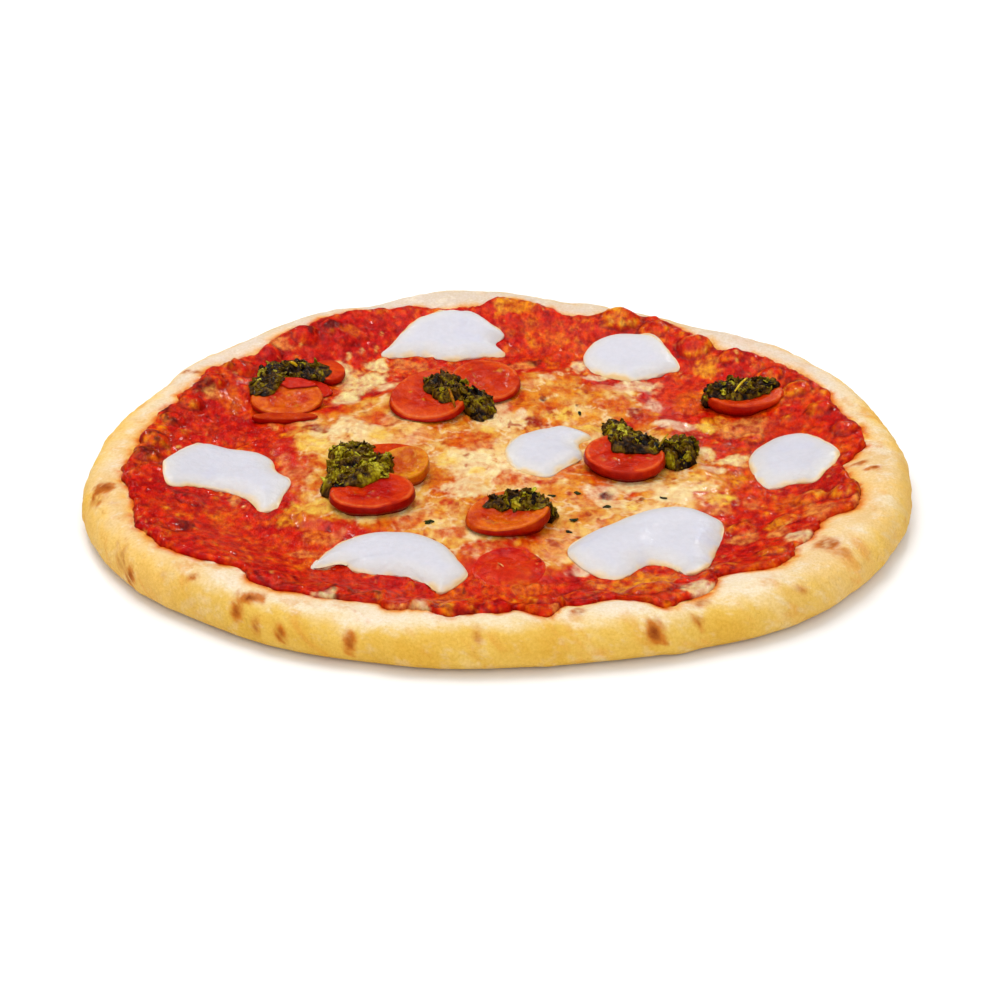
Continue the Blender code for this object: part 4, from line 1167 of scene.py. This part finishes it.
def clump_core(bed, seed, thickness, light, shape):
    """The crumpled body of a clump, and the tone of each of its points: its ridges and crags are painted
    lighter and its creases darker, as painted highlight and shade.
    """
    rings, shaded_tones = [], []
    for share in (*np.linspace(0.04, 1.0, 44), BASIL_FOOT):
        x, y = shape(share)
        ragged = 0.9 * share**3
        x = x + ragged * cloud(x, y, 3.2, seed % 5, 3)
        y = y + ragged * cloud(y, x, 3.2, (seed + 1) % 5, 3)
        if share == BASIL_FOOT:
            rings.append(stack(x, y, bed.heights(x, y) - SUNK))
            shaded_tones.append(np.zeros(len(x)))
            continue
        dome = math.sqrt(max(0.0, 1.0 - share**3.4))
        crag = BASIL_CRAG * (noise(x, y, 5.2, 4) + 0.5 * noise(x, y, 3.1, 3))
        folds, fine = crumple(x, y, 4.4, seed % 5), crumple(x, y, 1.9, (seed + 1) % 5)
        top = bed.level(x, y) + 0.85 * thickness * (dome * (1.0 + crag) - 0.1)
        top = top + dome * (1.5 * (folds - 0.6) + 0.9 * (fine - 0.6))
        rings.append(stack(x, y, np.maximum(top, bed.heights(x, y) + 0.3)))
        # Painted highlight and shade: ridges and crags lighter, creases darker.
        shaded_tones.append(0.1 + 0.5 * (folds - 0.4) + 0.55 * (fine - 0.45) + 0.5 * crag + 0.22 * light)
    return closed(rings), np.concatenate([shaded_tones[0][:1], np.concatenate(shaded_tones), [0.0]])


def build_basil(bed):
    """Clumps of chopped leaf, each a crumpled body dressed with flakes that lie along it."""
    finish = finish_of("chopped_basil", 0.35, 0.04, ((0.6, 0.5, 0.4), (1.35, 1.4, 1.3), 700.0),
                       (0.0004, 800.0), film=0.08)
    for seed, (name, thickness, flakes, light, points) in enumerate(BASIL):
        draw = np.random.default_rng(100 + seed)
        shape = through(points, 180)
        core, tone = clump_core(bed, seed, thickness, light, shape)
        lit = 0.25 * cloud(core[0][:, 0], core[0][:, 1], 7.0, (seed + 2) % 5, 2)
        meshes, colours = [core], [ramp(tone + lit, BASIL_TONE_AND_SHADE_RAMP)]
        tree = tree_of(core)
        for _ in range(flakes):
            ring_x, ring_y = shape(0.98 * draw.random() ** 0.4)
            pick = draw.integers(len(ring_x))
            x, y = ring_x[pick], ring_y[pick]
            hit, normal, _, _ = tree.ray_cast(Vector((x, y, bed.SKY)), Vector((0, 0, -1)))
            if hit is None:
                continue
            flake, faces = leaf_flake(draw, draw.uniform(1.0, 2.2))
            lean = np.array(Vector((0, 0, 1)).rotation_difference(normal).to_matrix())
            flake = flake @ (lean @ turned(draw, 40)).T
            meshes.append((flake + np.array([x, y, hit.z + draw.uniform(-0.2, 0.4)]), faces))
            tone = draw.normal(0.42 + 0.2 * light, 0.2) + 0.12 * draw.standard_normal(len(flake))
            colours.append(ramp(tone, BASIL_TONE_AND_SHADE_RAMP))
        piece(name + "_chopped", join(meshes), finish, np.vstack(colours), [name])
        bed.add(core)
    return finish


def build_flecks(bed, finish):
    """Loose flecks of herb on the cheese."""
    draw = np.random.default_rng(7)
    meshes = []
    for (x, y), length in HERB_FLECKS:
        fleck, faces = leaf_flake(draw, length / 2.0)
        height = bed.heights([x], [y])[0] + 0.35
        meshes.append((fleck * (1.0, 0.8, 0.35) @ turned(draw, 8).T + (x, y, height), faces))
    made = join(meshes)
    colour = ramp(cloud(made[0][:, 0], made[0][:, 1], 2.0, 1, 2), HERB_RAMP)
    piece("herb_flecks", made, finish, colour)


def build_stems(bed, finish):
    """Thin stems that lie on the leaves, each a closed six-sided rod."""
    around = np.arange(6) * math.pi / 3.0
    for k, (column, row, end_column, end_row, radius, colour) in enumerate(STEMS):
        height = STEM_FIRST_HEIGHT
        for _ in range(8):
            x, y, _ = seen(column, row, height)
            height = 0.5 * (height + float(bed.heights([x], [y])[0]) + radius)
        height += 0.3
        rise = STEM_LEAN * (row - end_row) / PIXELS_WIDE
        start, end = seen(column, row, height), seen(end_column, end_row, height + rise)
        along = (end - start) / np.linalg.norm(end - start)
        across = np.cross(along, (0.0, 0.0, 1.0))
        above = np.cross(across, along)
        section = np.outer(np.cos(around), across) + np.outer(np.sin(around), above)
        rings = []
        for share in np.linspace(0.0, 1.0, 9):
            centre = start + (end - start) * share + 0.5 * above * math.sin(math.pi * share)
            thick = radius * (0.5 + 0.5 * math.sin(math.pi * (0.1 + 0.8 * share)))
            rings.append(centre + thick * section)
        made = rings_to_mesh(rings, start - 0.2 * along, end + 0.2 * along)
        piece(f"stem_{k}", made, finish, np.tile(linear(colour), (len(made[0]), 1)))


# Studio.


def build_floor():
    half = FLOOR_HALF
    corners = [(-half, -half, 0), (half, -half, 0), (half, half, 0), (-half, half, 0)]
    mesh = bpy.data.meshes.new("floor")
    mesh.from_pydata(corners, [], [(0, 1, 2, 3)])
    floor = bpy.data.objects.new("floor", mesh)
    made = bpy.data.materials.new("pale_floor")
    made.use_nodes = True
    shader = made.node_tree.nodes["Principled BSDF"]
    shader.inputs["Base Color"].default_value = (FLOOR_GREY, FLOOR_GREY, FLOOR_GREY, 1.0)
    shader.inputs["Roughness"].default_value = 0.9
    shader.inputs["Specular IOR Level"].default_value = 0.0
    mesh.materials.append(made)
    bpy.context.scene.collection.objects.link(floor)
    floor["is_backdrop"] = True


def build_world():
    """Soft light from above and in front. The sky behind is dark, so wet food keeps its deep colour."""
    world = bpy.data.worlds.new("studio")
    bpy.context.scene.world = world
    world.use_nodes = True
    nodes, links = world.node_tree.nodes, world.node_tree.links
    place = nodes.new("ShaderNodeTexCoord")
    facing = nodes.new("ShaderNodeVectorMath")
    facing.operation = "DOT_PRODUCT"
    facing.inputs[1].default_value = SKY_FROM
    links.new(place.outputs["Generated"], facing.inputs[0])
    tint = nodes.new("ShaderNodeValToRGB")
    for stop, (position, grey) in zip(tint.color_ramp.elements, SKY_RAMP, strict=True):
        stop.position = position
        stop.color = (grey, grey, grey, 1)
    links.new(facing.outputs["Value"], tint.inputs["Fac"])
    links.new(tint.outputs["Color"], nodes["Background"].inputs["Color"])
    nodes["Background"].inputs["Strength"].default_value = SKY_LIGHT


def build_lights():
    """Area lights that point at the middle of the pizza."""
    for name, place, size, watts in LIGHTS:
        light = bpy.data.lights.new(name, "AREA")
        light.size = size
        light.energy = watts
        lamp = bpy.data.objects.new(name, light)
        lamp.location = place
        lamp.rotation_euler = (-Vector(place)).to_track_quat("-Z", "Y").to_euler()
        bpy.context.scene.collection.objects.link(lamp)


def build_camera():
    data = bpy.data.cameras.new("camera")
    data.lens = FOCAL_PIXELS / PHOTO_WIDTH * SENSOR
    data.sensor_width = SENSOR
    camera = bpy.data.objects.new("camera", data)
    camera.location = move_in(CAMERA_PLACE)
    camera.rotation_euler = Vector(-CAMERA_BACK).to_track_quat("-Z", "Y").to_euler()
    bpy.context.scene.collection.objects.link(camera)
    bpy.context.scene.camera = camera


def main():
    red = finish_of("sauce", 0.35, 0.03, ((0.66, 0.34, 0.3), (1.26, 2.2, 1.35), 380.0), (0.001, 420.0),
                    film=0.1, layered=True)
    melted = finish_of("melted_cheese", 0.35, 0.05, ((0.78, 0.46, 0.4), (1.12, 1.6, 1.6), 380.0),
                       (0.0006, 380.0), film=0.13, layered=True)
    build_crust()
    build_sauce(red)
    build_cheese(melted)
    bed = Bed()
    build_mozzarella(bed)
    build_tomatoes(bed)
    green = build_basil(bed)
    build_flecks(bed, green)
    build_stems(bed, green)
    build_floor()
    build_world()
    build_lights()
    build_camera()
    bpy.context.scene.view_settings.view_transform = "Standard"


main()
boxes = {"cad": CAD_BOX, "visual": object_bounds()}
{name: [list(corner) for corner in box] for name, box in boxes.items()}
